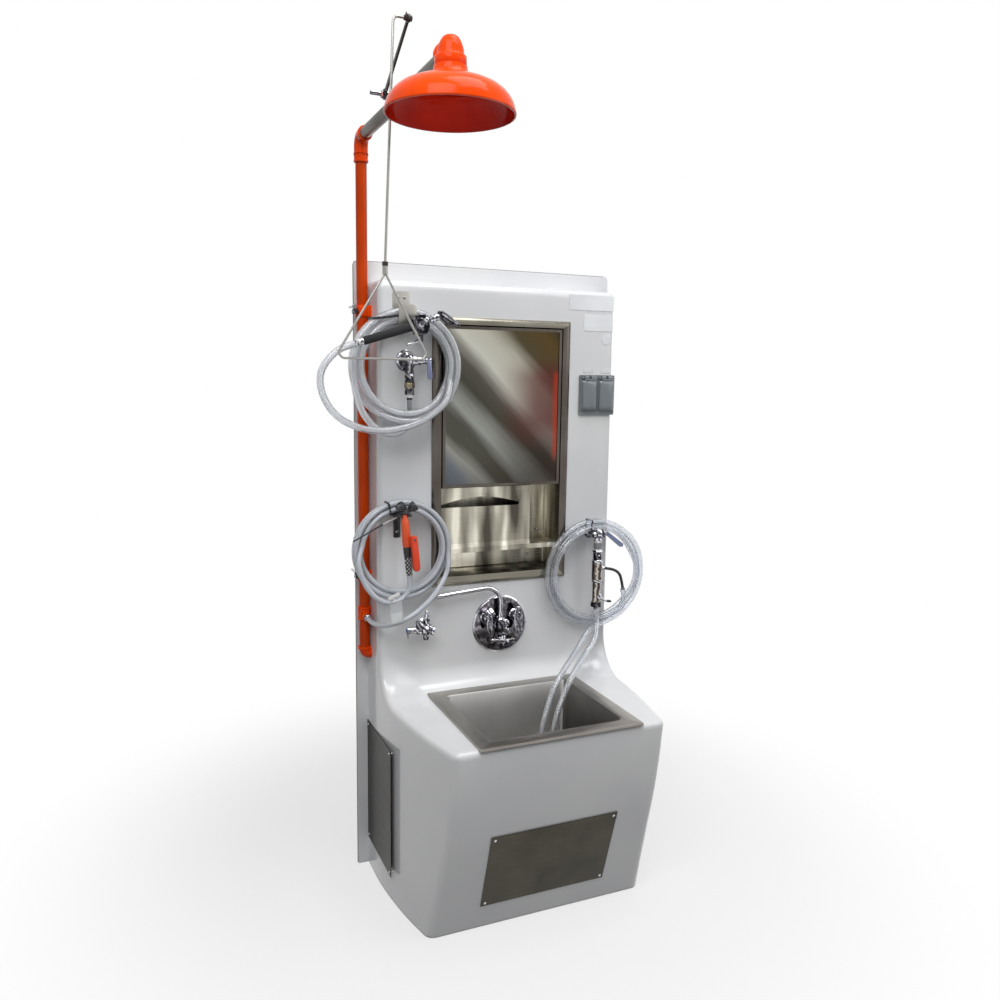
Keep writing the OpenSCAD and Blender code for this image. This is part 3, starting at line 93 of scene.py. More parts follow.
def srgb(code):
    channels = [int(code[i:i + 2], 16) / 255 for i in (1, 3, 5)]
    return tuple(c / 12.92 if c <= 0.04045 else ((c + 0.055) / 1.055) ** 2.4
        for c in channels) + (1.0,)


def addNode(tree, kind, inputs=None, **settings):
    node = tree.nodes.new(kind)
    for name, value in settings.items():
        setattr(node, name, value)
    for name, value in (inputs or {}).items():
        if isinstance(value, bpy.types.NodeSocket):
            tree.links.new(value, node.inputs[name])
        else:
            node.inputs[name].default_value = value
    return node


def startMaterial(name, **sockets):
    material = bpy.data.materials.new(name)
    material.use_nodes = True
    tree = material.node_tree
    shader = tree.nodes["Principled BSDF"]
    for socket, value in sockets.items():
        shader.inputs[socket.replace("_", " ")].default_value = value
    material.diffuse_color = shader.inputs["Base Color"].default_value
    return material, tree, shader


def inObject(tree, scale=(1, 1, 1), turn=(0, 0, 0)):
    place = addNode(tree, "ShaderNodeTexCoord")
    return addNode(tree, "ShaderNodeMapping",
        {"Vector": place.outputs["Object"], "Scale": scale, "Rotation": turn}).outputs[0]


def noiseAt(tree, vector, sizeMm, detail=2.0, rough=0.5):
    # one noise cell is about sizeMm across
    return addNode(tree, "ShaderNodeTexNoise",
        {"Vector": vector, "Scale": 1000 / sizeMm, "Detail": detail, "Roughness": rough}).outputs["Fac"]


def ramp(tree, value, stops):
    node = addNode(tree, "ShaderNodeValToRGB", {"Fac": value})
    band = node.color_ramp
    while len(band.elements) < len(stops):
        band.elements.new(0.5)
    for element, (place, colour) in zip(band.elements, stops):
        element.position = place
        element.color = srgb(colour) if isinstance(colour, str) else (colour, colour, colour, 1)
    return node.outputs["Color"]


def maths(tree, operation, *values):
    return addNode(tree, "ShaderNodeMath", dict(enumerate(values)), operation=operation).outputs[0]


def tinted(tree, shader, value, stops):
    tree.links.new(ramp(tree, value, stops), shader.inputs["Base Color"])


def glossed(tree, shader, value, stops):
    tree.links.new(ramp(tree, value, stops), shader.inputs["Roughness"])


def bumpInto(tree, shader, height, depthMm, strength=1.0):
    bump = addNode(tree, "ShaderNodeBump", {"Height": height, "Distance": depthMm * mm, "Strength": strength})
    tree.links.new(bump.outputs["Normal"], shader.inputs["Normal"])


# materials, each named for what the real one is

def whiteGelcoat():
    # polyester gelcoat on glass fibre: glossy white with a faint print-through of the mat
    material, tree, shader = startMaterial("white_gelcoat", Base_Color=srgb("#DEDFE1"), Roughness=0.2,
        IOR=1.5, Coat_Weight=0.3, Coat_Roughness=0.06)
    wide = noiseAt(tree, inObject(tree), 260, 2)
    tinted(tree, shader, wide, [(0.3, "#DADBDE"), (0.7, "#E2E3E4")])
    printThrough = noiseAt(tree, inObject(tree), 9, 3, 0.6)
    glossed(tree, shader, printThrough, [(0.3, 0.16), (0.75, 0.26)])
    bumpInto(tree, shader, printThrough, 0.05, 0.35)
    return material


def brushedSteel(name, tone, darker, along, rough=(0.2, 0.34), grainMm=1.2):
    # 304 sheet with a belt-brushed grain: long fine streaks along one direction
    material, tree, shader = startMaterial(name, Base_Color=srgb(tone), Metallic=1.0, Roughness=0.28,
        Anisotropic=0.5)
    stretch = {"x": (0.012, 1, 1), "y": (1, 0.012, 1), "z": (1, 1, 0.012)}[along]
    streaks = noiseAt(tree, inObject(tree, stretch), grainMm, 3, 0.65)
    clouds = noiseAt(tree, inObject(tree), 120, 2, 0.5)
    blend = maths(tree, "MULTIPLY_ADD", streaks, clouds, 0.22)
    tinted(tree, shader, blend, [(0.3, darker), (0.62, tone)])
    glossed(tree, shader, streaks, [(0.3, rough[0]), (0.7, rough[1])])
    bumpInto(tree, shader, streaks, 0.02, 0.25)
    return material


def softSteel():
    # half-polished sheet inside the cabinet: the room's lamps stand in it as soft upright columns
    material, tree, shader = startMaterial("cabinet_inner_steel", Base_Color=srgb("#D2CEC2"), Metallic=1.0,
        Roughness=0.3)
    columns = noiseAt(tree, inObject(tree, (1, 1, 0.16)), 58, 2, 0.45)
    streaks = noiseAt(tree, inObject(tree, (0.02, 1, 1)), 1.6, 2, 0.6)
    both = maths(tree, "MULTIPLY_ADD", streaks, 0.05, columns)
    tinted(tree, shader, both, [(0.40, "#4E4B43"), (0.50, "#8A867A"), (0.58, "#ABA799"), (0.68, "#E6E2D4")])
    glossed(tree, shader, streaks, [(0.3, 0.24), (0.7, 0.38)])
    bumpInto(tree, shader, streaks, 0.02, 0.2)
    return material


def polishedChrome(name="polished_chrome", tone="#ECEDF1", darker="#2A292F", middle="#97979F"):
    # bright chromium plate over brass: near mirror, where a dark floor and bright lamps stand in bands
    material, tree, shader = startMaterial(name, Base_Color=srgb(tone), Metallic=1.0, Roughness=0.06)
    normal = addNode(tree, "ShaderNodeTexCoord").outputs["Normal"]
    facing = addNode(tree, "ShaderNodeSeparateXYZ", {"Vector": normal})
    slope = maths(tree, "MULTIPLY_ADD", facing.outputs["X"], 0.23, 0.40)
    slope = maths(tree, "MULTIPLY_ADD", facing.outputs["Z"], 0.27, slope)
    waves = noiseAt(tree, inObject(tree), 18, 3, 0.6)
    spread = maths(tree, "MULTIPLY_ADD", waves, 0.34, slope)
    tinted(tree, shader, spread, [
        (0.22, middle), (0.32, darker), (0.42, middle), (0.47, tone), (0.53, middle), (0.58, darker),
        (0.66, middle), (0.71, tone), (0.80, tone), (0.88, middle)])
    glossed(tree, shader, waves, [(0.3, 0.03), (0.8, 0.12)])
    return material


def orangeEnamel(name="orange_enamel", tone="#F04C00", darker="#E44200"):
    # oven-baked safety orange enamel on cast iron and pipe: glossy with slight orange peel
    material, tree, shader = startMaterial(name, Base_Color=srgb(tone), Roughness=0.24, IOR=1.45,
        Specular_IOR_Level=0.1, Coat_Weight=0.05, Coat_Roughness=0.05)
    peel = noiseAt(tree, inObject(tree), 3.5, 2, 0.5)
    wide = noiseAt(tree, inObject(tree), 90, 2, 0.5)
    tinted(tree, shader, wide, [(0.3, darker), (0.7, tone)])
    glossed(tree, shader, peel, [(0.3, 0.12), (0.75, 0.22)])
    bumpInto(tree, shader, peel, 0.04, 0.3)
    return material


def clearVinyl(name, tone, clear, rough=0.12, edge="#8E929C"):
    # plasticised PVC: clear and a little milky; its colour is painted darker towards the outline, a painted
    # reflection of the dark room in the tube's sides
    material, tree, shader = startMaterial(name, Base_Color=srgb(tone), Roughness=rough, IOR=1.4,
        Transmission_Weight=clear, Coat_Weight=0.4, Coat_Roughness=0.05)
    ripples = noiseAt(tree, inObject(tree), 22, 2, 0.5)
    # painted reflection: faces seen edge-on take the darker edge tone
    wall = addNode(tree, "ShaderNodeLayerWeight", {"Blend": 0.42}).outputs["Facing"]
    tinted(tree, shader, wall, [(0.35, tone), (0.85, edge)])
    glossed(tree, shader, ripples, [(0.3, rough), (0.8, rough + 0.12)])
    bumpInto(tree, shader, ripples, 0.16, 0.3)
    return material


def mouldedPlastic(name, tone, darker, rough=0.45, grainMm=1.5):
    # injection moulded ABS or nylon: even colour with a fine spark-eroded grain
    material, tree, shader = startMaterial(name, Base_Color=srgb(tone), Roughness=rough, IOR=1.5)
    grain = noiseAt(tree, inObject(tree), grainMm, 3, 0.6)
    wide = noiseAt(tree, inObject(tree), 40, 2, 0.5)
    tinted(tree, shader, wide, [(0.3, darker), (0.7, tone)])
    glossed(tree, shader, grain, [(0.3, rough - 0.08), (0.7, rough + 0.1)])
    bumpInto(tree, shader, grain, 0.05, 0.4)
    return material


# the mirror's blurred room: places in metres on the leaf, colours along the slanting bands
leaf = {
    "left": -0.192, "low": 1.267, "slant": 45, "across": 0.89, "stretch": 9,
    "bands": [(0.0, "#4A505C"), (0.10, "#686C70"), (0.17, "#8C8B84"), (0.235, "#4E4D46"), (0.285, "#4E4D45"),
        (0.34, "#8E908C"), (0.385, "#84867F"), (0.45, "#44433A"), (0.52, "#54514A"), (0.61, "#BCBBB0"),
        (0.70, "#ACAA9C"), (0.80, "#4E4634"), (0.90, "#54442A"), (1.0, "#302C26")],
    "duskFrom": -1.52, "duskTo": -1.16, "duskShare": 0.76, "duskTone": "#2E2420",
    "patchX": (-0.04, 0.13), "patchLow": (1.36, 1.48), "patchHigh": (1.60, 1.69), "patchShare": 0.8,
    "patchTone": "#5A2A28",
    "edgeX": (0.168, 0.186), "edgeLow": (1.33, 1.38), "edgeHigh": (1.61, 1.64), "edgeShare": 0.7,
    "edgeTone": "#A23A24",
}


def leafMirror():
    # polished steel mirror leaf: the room stands in it as soft slanting bands, red at the right
    material, tree, shader = startMaterial("polished_mirror", Base_Color=srgb("#8A8A84"), Metallic=1.0,
        Roughness=0.12)
    spot = addNode(tree, "ShaderNodeTexCoord").outputs["Object"]
    parts = addNode(tree, "ShaderNodeSeparateXYZ", {"Vector": spot})
    x, z = parts.outputs["X"], parts.outputs["Z"]

    def share(value, low, high):
        # 0 below low and 1 above high, eased at both ends
        return addNode(tree, "ShaderNodeMapRange", {"Value": value, "From Min": low, "From Max": high},
            interpolation_type="SMOOTHSTEP").outputs[0]

    def between(low, high):
        return maths(tree, "MULTIPLY", share(z, *low), maths(tree, "SUBTRACT", 1.0, share(z, *high)))

    def laidOver(under, amount, tone):
        over = addNode(tree, "ShaderNodeMix", {"Factor": amount}, data_type="RGBA", blend_type="MIX")
        tree.links.new(under, over.inputs[6])
        over.inputs[7].default_value = srgb(tone)
        return over.outputs[2]

    start = leaf["left"] + leaf["low"]
    place = addNode(tree, "ShaderNodeMapRange", {"Value": maths(tree, "ADD", x, z), "From Min": start,
        "From Max": start + leaf["across"]}).outputs[0]
    along = addNode(tree, "ShaderNodeMapping", {"Vector": spot, "Rotation": (0, radians(leaf["slant"]), 0),
        "Scale": (leaf["stretch"], 1, 1)}, vector_type="TEXTURE").outputs[0]
    # wide and fine waves along the bands, and a slow bend in them
    for wave, amount in ((noiseAt(tree, along, 70, 2, 0.5), 0.12), (noiseAt(tree, along, 16, 2, 0.5), 0.03),
        (noiseAt(tree, inObject(tree), 260, 1, 0.4), 0.09)):
        place = maths(tree, "MULTIPLY_ADD", wave, amount, place)
    tone = ramp(tree, maths(tree, "SUBTRACT", place, 0.12), leaf["bands"])
    lowRight = share(maths(tree, "SUBTRACT", x, z), leaf["duskFrom"], leaf["duskTo"])
    tone = laidOver(tone, maths(tree, "MULTIPLY", lowRight, leaf["duskShare"]), leaf["duskTone"])
    # dark red patch at mid height on the right, with a brighter strip along the edge
    for kind in ("patch", "edge"):
        spread = maths(tree, "MULTIPLY", share(x, *leaf[kind + "X"]),
            between(leaf[kind + "Low"], leaf[kind + "High"]))
        tone = laidOver(tone, maths(tree, "MULTIPLY", spread, leaf[kind + "Share"]), leaf[kind + "Tone"])
    tree.links.new(tone, shader.inputs["Base Color"])
    smear = noiseAt(tree, inObject(tree, (1, 1, 0.15)), 16, 2)
    glossed(tree, shader, smear, [(0.3, 0.08), (0.8, 0.2)])
    return material


def braidedSleeve():
    # woven polyester sleeve, black and white threads about 2.5 mm wide crossing at a slant
    material, tree, shader = startMaterial("braided_sleeve", Base_Color=srgb("#5A5A5C"), Roughness=0.55)
    checks = []
    for turn in (38, -38):
        place = inObject(tree, (1, 1, 1), (0, radians(turn), 0))
        wave = addNode(tree, "ShaderNodeTexWave", {"Vector": place, "Scale": 42, "Distortion": 0.6},
            bands_direction="X")
        checks.append(wave.outputs["Fac"])
    both = maths(tree, "MULTIPLY", *checks)
    tinted(tree, shader, both, [(0.2, "#131315"), (0.36, "#BDBDBB")])
    bumpInto(tree, shader, both, 0.4, 0.5)
    return material


looks = {"gelcoat": whiteGelcoat(), "inner": softSteel(), "mirror": leafMirror(), "braid": braidedSleeve()}
# the sink's rim and walls are brushed warm grey, and the cabinet's sheet is browner and more polished; copies
# of one steel that differ only in tone carry painted light and shade for the faces they cover
for finish, rows in (
    (brushedSteel, {
        # sink copies: the rim's bands and the bowl's walls differ in tone by side as painted light and shade;
        # the front and back walls lit, the left wall shaded, the right wall in deeper shade
        "sinkX": ("sink_steel_x", "#97928D", "#7B7672", "x", (0.3, 0.42)),
        "sinkBack": ("sink_steel_back", "#B0ADA6", "#928F89", "x", (0.3, 0.42)),
        "sinkY": ("sink_steel_y", "#A8A59F", "#8C8984", "y", (0.3, 0.42)),
        "sinkLitZ": ("sink_steel_z", "#E0DFDD", "#D0CFCD", "z", (0.32, 0.38), 0.8),
        "sinkShade": ("sink_steel_shade", "#A3A19E", "#908E8B", "z", (0.32, 0.38), 0.8),
        "sinkDeepShade": ("sink_steel_dark", "#767471", "#646260", "z", (0.32, 0.38), 0.8),
        # painted shade: the cabinet frame's upright strips and the mirror frame take the darker z copy
        "cabinetX": ("cabinet_steel_x", "#8F8B80", "#6C685E", "x", (0.16, 0.28)),
        "cabinetShadedZ": ("cabinet_steel_z", "#67615B", "#463F3B", "z", (0.16, 0.28)),
        "plate": ("plate_steel", "#504D44", "#3D3A33", "x", (0.26, 0.4), 0.9),
        # painted shade: a darker copy of the plate steel for the plates on the body's left side
        "sidePlate": ("side_plate_steel", "#2E2C27", "#211F1B", "y", (0.3, 0.44), 0.9),
        "hangerSteel": ("hanger_steel", "#B3B1AB", "#93918B", "z", (0.3, 0.42)),
        "pipeSteel": ("galvanised_pipe", "#6C6A65", "#45433F", "y", (0.28, 0.42), 2.5),
        "rodSteel": ("rod_steel", "#A09F9B", "#8A8985", "z", (0.24, 0.32), 0.8),
        "aluminium": ("bare_aluminium", "#C4C6C8", "#B2B4B6", "x", (0.3, 0.4), 0.8),
        "darkSteel": ("blued_steel", "#4A4644", "#2E2B2A", "z", (0.3, 0.44), 2.0),
        "brass": ("bare_brass", "#968C76", "#665D4A", "z", (0.18, 0.32), 2.0),
        "blade": ("lever_blade_steel", "#7E849E", "#565C76", "x", (0.16, 0.28), 1.5),
        "copper": ("copper_tube", "#B87A55", "#99603F", "z", (0.2, 0.34), 3),
    }),
    (polishedChrome, {
        "chrome": (),
        # the copies paint the same reflection bands in their own tones
        "darkChrome": ("dark_chrome", "#B0B0B4", "#151418", "#5A595E"),
        "blackChrome": ("black_chrome", "#77777C", "#0E0D10", "#2C2B2F"),
        "plateMirror": ("plate_chrome", "#CDCDD2", "#3A373B", "#858287"),
        "plateRim": ("rim_chrome", "#D8D9DD", "#6A6A70", "#A6A7AC"),
        # painted reflection: chrome with the brown room drawn in it as bands
        "chromeBrownReflection": ("warm_chrome", "#C8C3BC", "#2A2421", "#6C625A"),
    }),
    (orangeEnamel, {
        "orange": (),
        # painted shade: a darker, redder copy of the orange enamel for the shaded inside of the bell and its
        # deflector
        "innerRed": ("inner_red_enamel", "#DC2400", "#C21A00"),
        # painted shade: a darker copy of the enamel for the riser, which stood less lit
        "riserOrange": ("riser_orange_enamel", "#CE4400", "#BC3A00"),
    }),
    (clearVinyl, {
        "clearHose": ("clear_vinyl", "#EEF0F3", 0.76, 0.12, "#A4A6AE"),
        "greyHose": ("grey_vinyl", "#DCE0E7", 0.42, 0.14, "#8A9099"),
        "tube": ("thin_clear_vinyl", "#EEF0F4", 0.94, 0.05, "#44444E"),
        "lid": ("smoky_lid", "#9AA2A9", 0.5, 0.1, "#7A8087"),
        "sleeve": ("clear_sleeve", "#F4F6F8", 0.9, 0.1, "#C8CCD2"),
    }),
    (mouldedPlastic, {
        "black": ("black_rubber", "#17171A", "#101012", 0.5),
        "blackGloss": ("black_nylon", "#15151A", "#0E0E12", 0.32),
        "grey": ("grey_cover_plastic", "#7C8286", "#6D7377", 0.4),
        "orangeGrip": ("orange_grip", "#F0602C", "#E25020", 0.3, 3),
        "white": ("white_waste_plastic", "#DDDEDB", "#CFD0CD", 0.4),
        "darkBand": ("dark_red_ring", "#5A1218", "#3C0A10", 0.3),
        "greyBarb": ("grey_nylon", "#8A8C90", "#6E7074", 0.35),
        "foam": ("foam_rubber", "#0D0D12", "#08080B", 0.8, 2.5),
        "headGrey": ("spray_head_nylon", "#26272C", "#15161A", 0.28),
        "orangeLever": ("orange_lever_nylon", "#EE4A20", "#DC3E16", 0.35, 2),
        "blueDisc": ("blue_nylon", "#2C62C8", "#1E4FA8", 0.3),
        "card": ("white_card", "#F0F0EE", "#E4E4E2", 0.6),
    }),
):
    looks.update((key, finish(*row)) for key, row in rows.items())
print("materials made")


# mesh helpers

def shown(name, mesh, look, bodyName="station", smoothAngle=35):
    piece = bpy.data.objects.new(name, mesh)
    scene.collection.objects.link(piece)
    for one in look if isinstance(look, (list, tuple)) else [look]:
        mesh.materials.append(looks[one])
    mesh.shade_smooth()
    if smoothAngle < 180:
        mesh.set_sharp_from_angle(angle=radians(smoothAngle))
    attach(piece, bodyName)
    return piece


def meshOf(name, points, faces, look, bodyName="station", smoothAngle=35, slots=None):
    mesh = bpy.data.meshes.new(name)
    mesh.from_pydata([tuple(p) for p in points], [], faces)
    if slots:
        for polygon, index in zip(mesh.polygons, slots):
            polygon.material_index = index
    mesh.validate()
    mesh.update()
    return shown(name, mesh, look, bodyName, smoothAngle)


def bandQuads(first, second, count):
    # quads between two rings of points, given by the rings' first numbers
    return [(first + k, first + (k + 1) % count, second + (k + 1) % count, second + k) for k in range(count)]


def carriedFrames(points):
    # directions along a route with side vectors that do not twist
    count = len(points)
    ahead = []
    for i in range(count):
        step = Vector((0, 0, 0))
        if i:
            step += (points[i] - points[i - 1]).normalized()
        if i < count - 1:
            step += (points[i + 1] - points[i]).normalized()
        ahead.append(step.normalized())
    side = Vector((0.12, 0.97, 0.21))
    frames = []
    for direction in ahead:
        side = (side - direction * side.dot(direction)).normalized()
        frames.append((direction, side, direction.cross(side)))
    return frames


def tubeMesh(points, radii, sides, bore=0.0):
    # swept tube; with a bore it has an inner wall and annular ends
    points = [Vector(p) for p in points]
    frames = carriedFrames(points)
    verts, faces = [], []

    def wall(scale):
        start = len(verts)
        for point, (_, across, over), radius in zip(points, frames, radii):
            for k in range(sides):
                angle = 2 * pi * k / sides
                verts.append(point + (across * cos(angle) + over * sin(angle)) * radius * scale)
        return start

    def skin(start, flip):
        for i in range(len(points) - 1):
            quads = bandQuads(start + i * sides, start + (i + 1) * sides, sides)
            faces.extend(quad[::-1] if flip else quad for quad in quads)

    outer = wall(1)
    skin(outer, False)
    last = (len(points) - 1) * sides
    if bore:
        inner = wall(bore)
        skin(inner, True)
        for k in range(sides):
            n = (k + 1) % sides
            faces.append((outer + n, outer + k, inner + k, inner + n))
            faces.append((outer + last + k, outer + last + n, inner + last + n, inner + last + k))
    else:
        faces.append(tuple(range(sides - 1, -1, -1)))
        faces.append(tuple(last + k for k in range(sides)))
    return verts, faces


def smoothRoute(points, step):
    # Catmull-Rom line through the points, resampled to an even step
    points = [Vector(p) for p in points]
    ends = [points[0] * 2 - points[1]] + points + [points[-1] * 2 - points[-2]]
    dense = []
    for i in range(1, len(ends) - 2):
        p0, p1, p2, p3 = ends[i - 1:i + 3]
        for k in range(12):
            t = k / 12
            dense.append(0.5 * ((2 * p1) + (p2 - p0) * t + (2 * p0 - 5 * p1 + 4 * p2 - p3) * t * t
                + (3 * p1 - p0 - 3 * p2 + p3) * t ** 3))
    dense.append(points[-1])
    lengths = [0.0]
    for a, b in zip(dense, dense[1:]):
        lengths.append(lengths[-1] + (b - a).length)
    count = max(2, round(lengths[-1] / step))
    route, j = [], 0
    for i in range(count + 1):
        goal = lengths[-1] * i / count
        while j < len(lengths) - 2 and lengths[j + 1] < goal:
            j += 1
        span = lengths[j + 1] - lengths[j]
        route.append(dense[j].lerp(dense[j + 1], (goal - lengths[j]) / span if span else 0))
    return route


def routeLength(route):
    return sum((b - a).length for a, b in zip(route, route[1:]))


def turned(start, axis, profile, sides=40, bore=0, caps=True):
    # turned part in mm: profile is (distance along the axis, radius); a bore makes it a ring
    along = Vector(axis).normalized()
    across = along.orthogonal().normalized()
    over = along.cross(across)
    if bore:
        profile = list(profile) + [(profile[-1][0], bore), (profile[0][0], bore)]
    verts, faces = [], []
    for distance, radius in profile:
        for k in range(sides):
            angle = 2 * pi * k / sides
            spoke = across * cos(angle) + over * sin(angle)
            verts.append((Vector(start) + along * distance + spoke * max(radius, 0.02)) * mm)
    bands = len(profile)
    for i in range(bands if bore else bands - 1):
        faces += bandQuads(i * sides, (i + 1) % bands * sides, sides)
    if caps and not bore:
        faces.append(tuple(range(sides - 1, -1, -1)))
        faces.append(tuple((bands - 1) * sides + k for k in range(sides)))
    return verts, faces


def hexed(start, axis, length, across, bore=0):
    # nut or hexagon with chamfered ends
    corner = across / 2 / cos(pi / 6)
    cut = min(1.2, length / 4)
    profile = [(0, corner * 0.93), (cut, corner), (length - cut, corner), (length, corner * 0.93)]
    return turned(start, axis, profile, 6, bore)


def ball(centre, radius, sides=24):
    steps = [(-radius * cos(pi * k / 10), radius * sin(pi * k / 10)) for k in range(11)]
    return turned(centre, toTop, steps, sides)


def swept(points, diameter, sides=16, step=0):
    # round bar or tube in mm; diameter may be a list with one value for each point
    line = inMetres(points)
    if step:
        line = smoothRoute(line, step * mm)
    radii = [d / 2 * mm for d in diameter] if isinstance(diameter, list) else [diameter / 2 * mm] * len(line)
    return tubeMesh(line, radii, sides)


def bent(points, radii, steps=6):
    # open line through the points with an arc at each inner one
    line = [Vector(points[0])]
    for before, at, after, radius in zip(points, points[1:], points[2:], radii):
        at = Vector(at)
        a, b = (Vector(before) - at).normalized(), (Vector(after) - at).normalized()
        half = a.angle(b) / 2
        centre = at + (a + b).normalized() * radius / sin(half)
        first = (at + a * radius / tan(half) - centre).normalized()
        final = (at + b * radius / tan(half) - centre).normalized()
        line += [centre + first.slerp(final, k / steps) * radius for k in range(steps + 1)]
    return [tuple(p) for p in line + [Vector(points[-1])]]


def roundedBox(low, high, radii, steps=5):
    # radii run from the corner at low, anticlockwise
    return roundedCorners([low, (high[0], low[1]), high, (low[0], high[1])], radii, steps)


def shapeOf(form):
    # points and faces of a bmesh form, which is freed
    form.verts.index_update()
    shape = [v.co.copy() for v in form.verts], [tuple(v.index for v in f.verts) for f in form.faces]
    form.free()
    return shape


def plated(outline, low, high, plane="xz", bevel=0.8, segments=2):
    # plate in mm; plane "xz" runs along Y from low to high, "xy" along Z, "yz" along X
    placeAt = {"xz": lambda p, t: (p[0], t, p[1]), "xy": lambda p, t: (p[0], p[1], t),
        "yz": lambda p, t: (t, p[0], p[1])}[plane]
    form = bmesh.new()
    near, far = [[form.verts.new(Vector(placeAt(p, t)) * mm) for p in outline] for t in (low, high)]
    form.faces.new(near)
    form.faces.new(far[::-1])
    for side in zip(near, far, far[1:] + far[:1], near[1:] + near[:1]):
        form.faces.new(side)
    bmesh.ops.recalc_face_normals(form, faces=form.faces)
    if bevel:
        edges = [e for e in form.edges if e.calc_face_angle(0) > radians(35)]
        bmesh.ops.bevel(form, geom=edges, offset=bevel * mm, segments=segments, profile=0.5, affect="EDGES",
            clamp_overlap=True)
    return shapeOf(form)


def block(low, high, bevel=0.8, segments=2):
    (x0, y0, z0), (x1, y1, z1) = low, high
    return plated([(x0, z0), (x1, z0), (x1, z1), (x0, z1)], y0, y1, "xz", bevel, segments)


def laid(shape, origin, right, up=toTop):
    # shape made at the zero point, set at origin with its x along right
    right = Vector(right).normalized()
    forward = Vector(up).cross(right).normalized()
    over = right.cross(forward)
    return [Vector(origin) * mm + right * p[0] + forward * p[1] + over * p[2] for p in shape[0]], shape[1]


def assembled(name, parts, replaced=(), bodyName="station", smoothAngle=35):
    # one piece from several shapes, each with its own finish
    verts, faces, slots, finishes = [], [], [], []
    for look, (points, quads) in parts:
        if look not in finishes:
            finishes.append(look)
        base = len(verts)
        verts += points
        faces += [tuple(base + i for i in face) for face in quads]
        slots += [finishes.index(look)] * len(quads)
    piece = meshOf(name, verts, faces, finishes, bodyName, smoothAngle, slots)
    if replaced:
        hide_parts(*replaced)
    return piece


def roundedCorners(corners, radii, steps=5):
    # 2D outline with arcs at its corners, anticlockwise
    outline = []
    count = len(corners)
    for i in range(count):
        before, at, after = (Vector(corners[j % count]) for j in (i - 1, i, i + 1))
        radius = radii[i]
        if radius <= 0:
            outline.append(at)
            continue
        a, b = (before - at).normalized(), (after - at).normalized()
        half = a.angle(b) / 2
        centre = at + (a + b).normalized() * radius / sin(half)
        first, final = at + a * radius / tan(half), at + b * radius / tan(half)
        spanA, spanB = first - centre, final - centre
        turn = -spanA.angle_signed(spanB)
        for k in range(steps + 1):
            angle = atan2(spanA.y, spanA.x) + turn * k / steps
            outline.append(centre + Vector((cos(angle), sin(angle))) * radius)
    return outline


def thicken(piece, thickness):
    # sheet or shell: the drawn skin is its outer face
    sheet = piece.modifiers.new("thickness", "SOLIDIFY")
    sheet.thickness, sheet.offset = thickness, -1


def bevelled(piece, name, width, segments, angle):
    edge = piece.modifiers.new(name, "BEVEL")
    edge.width, edge.segments, edge.limit_method = width, segments, "ANGLE"
    edge.angle_limit = radians(angle)
    return edge


def dress(look, *names):
    for name in names:
        mesh = nodes[name].data
        mesh.materials.clear()
        mesh.materials.append(looks[look])


# cords: every coil hangs on its fitting with its whole length in its turns

def smooth(low, high, value):
    t = min(max((value - low) / (high - low), 0.0), 1.0)
    return t * t * (3 - 2 * t)


def coilTurns(coil):
    # places run through the four strands of the coil; each move shifts a turn to the next place
    points, count = [], int(abs(coil["to"] - coil["from"]) / 12)
    for i in range(count + 1):
        angle = coil["from"] + (coil["to"] - coil["from"]) * i / count
        radius, depth = coil["places"][0]
        for (low, high), before, after in zip(coil["moves"], coil["places"], coil["places"][1:]):
            share = smooth(low, high, angle)
            radius += (after[0] - before[0]) * share
            depth += (after[1] - before[1]) * share
        if "gap" in coil:
            # the strands part at the bottom, where the tap's own end comes through them
            low, high, spread, middle = coil["gap"]
            round360 = angle % 360
            window = smooth(low - 18, low, round360) * (1 - smooth(high, high + 16, round360))
            depth += spread * window * (1 if depth > middle else -1)
        turn = radians(angle) * coil["way"]
        points.append((coil["middle"][0] + radius * sin(turn) * mm, depth * mm,
            coil["middle"][1] + radius * cos(turn) * mm))
    return points


def inMetres(points):
    return [(x * mm, y * mm, z * mm) for x, y, z in points]


sprayHose = {
    "diameter": 0.020,
    "start": [(-315, -170, 1506), (-315, -170, 1496), (-317.5, -170, 1476), (-327, -170, 1456),
        (-344, -170.5, 1443), (-366, -171.5, 1438), (-390, -173, 1441), (-414, -175, 1453), (-437, -177, 1473),
        (-458, -179, 1502), (-473, -180, 1538), (-482, -181, 1578)],
    "coil": {"middle": (-0.326, 1.636), "way": 1, "from": -90, "to": 1186,
        "places": [(159.5, -181), (159.5, -159), (137.5, -159), (137.5, -181)],
        "moves": [(194, 236), (505, 528), (838, 865)], "gap": (166, 190, 11, -170)},
    "tail": [(-196, -191, 1580), (-212, -207, 1540), (-246, -213, 1507), (-292, -216, 1478), (-340, -218, 1461),
        (-392, -222, 1453), (-444, -228, 1454), (-494, -234, 1466), (-540, -238, 1490), (-574, -240, 1528),
        (-592, -240, 1574), (-590, -240, 1618), (-568, -240, 1654), (-536, -240, 1681), (-496, -240, 1696)],
}
drenchHose = {
    "diameter": 0.016,
    "start": [(-424, -96, 862), (-422, -126, 859), (-412, -164, 859), (-392, -198, 866), (-360, -220, 879),
        (-322, -228, 898), (-286, -222, 921), (-252, -212, 947), (-226, -200, 974), (-205, -190, 1004),
        (-194, -183, 1036)],
    "coil": {"middle": (-0.336, 1.087), "way": -1, "from": -98, "to": 1160,
        "places": [(146, -174), (146, -157), (128, -157), (128, -174)],
        "moves": [(195, 240), (515, 555), (838, 875)]},
    "tail": [(-477, -190, 1064), (-474, -198, 1034), (-464, -202, 1004), (-446, -205, 974), (-422, -208, 950),
        (-390, -211, 938), (-359, -213, 944), (-338, -212, 960), (-328, -212, 980), (-326.4, -212, 1000),
        (-327.9, -212, 1017.6)],
}
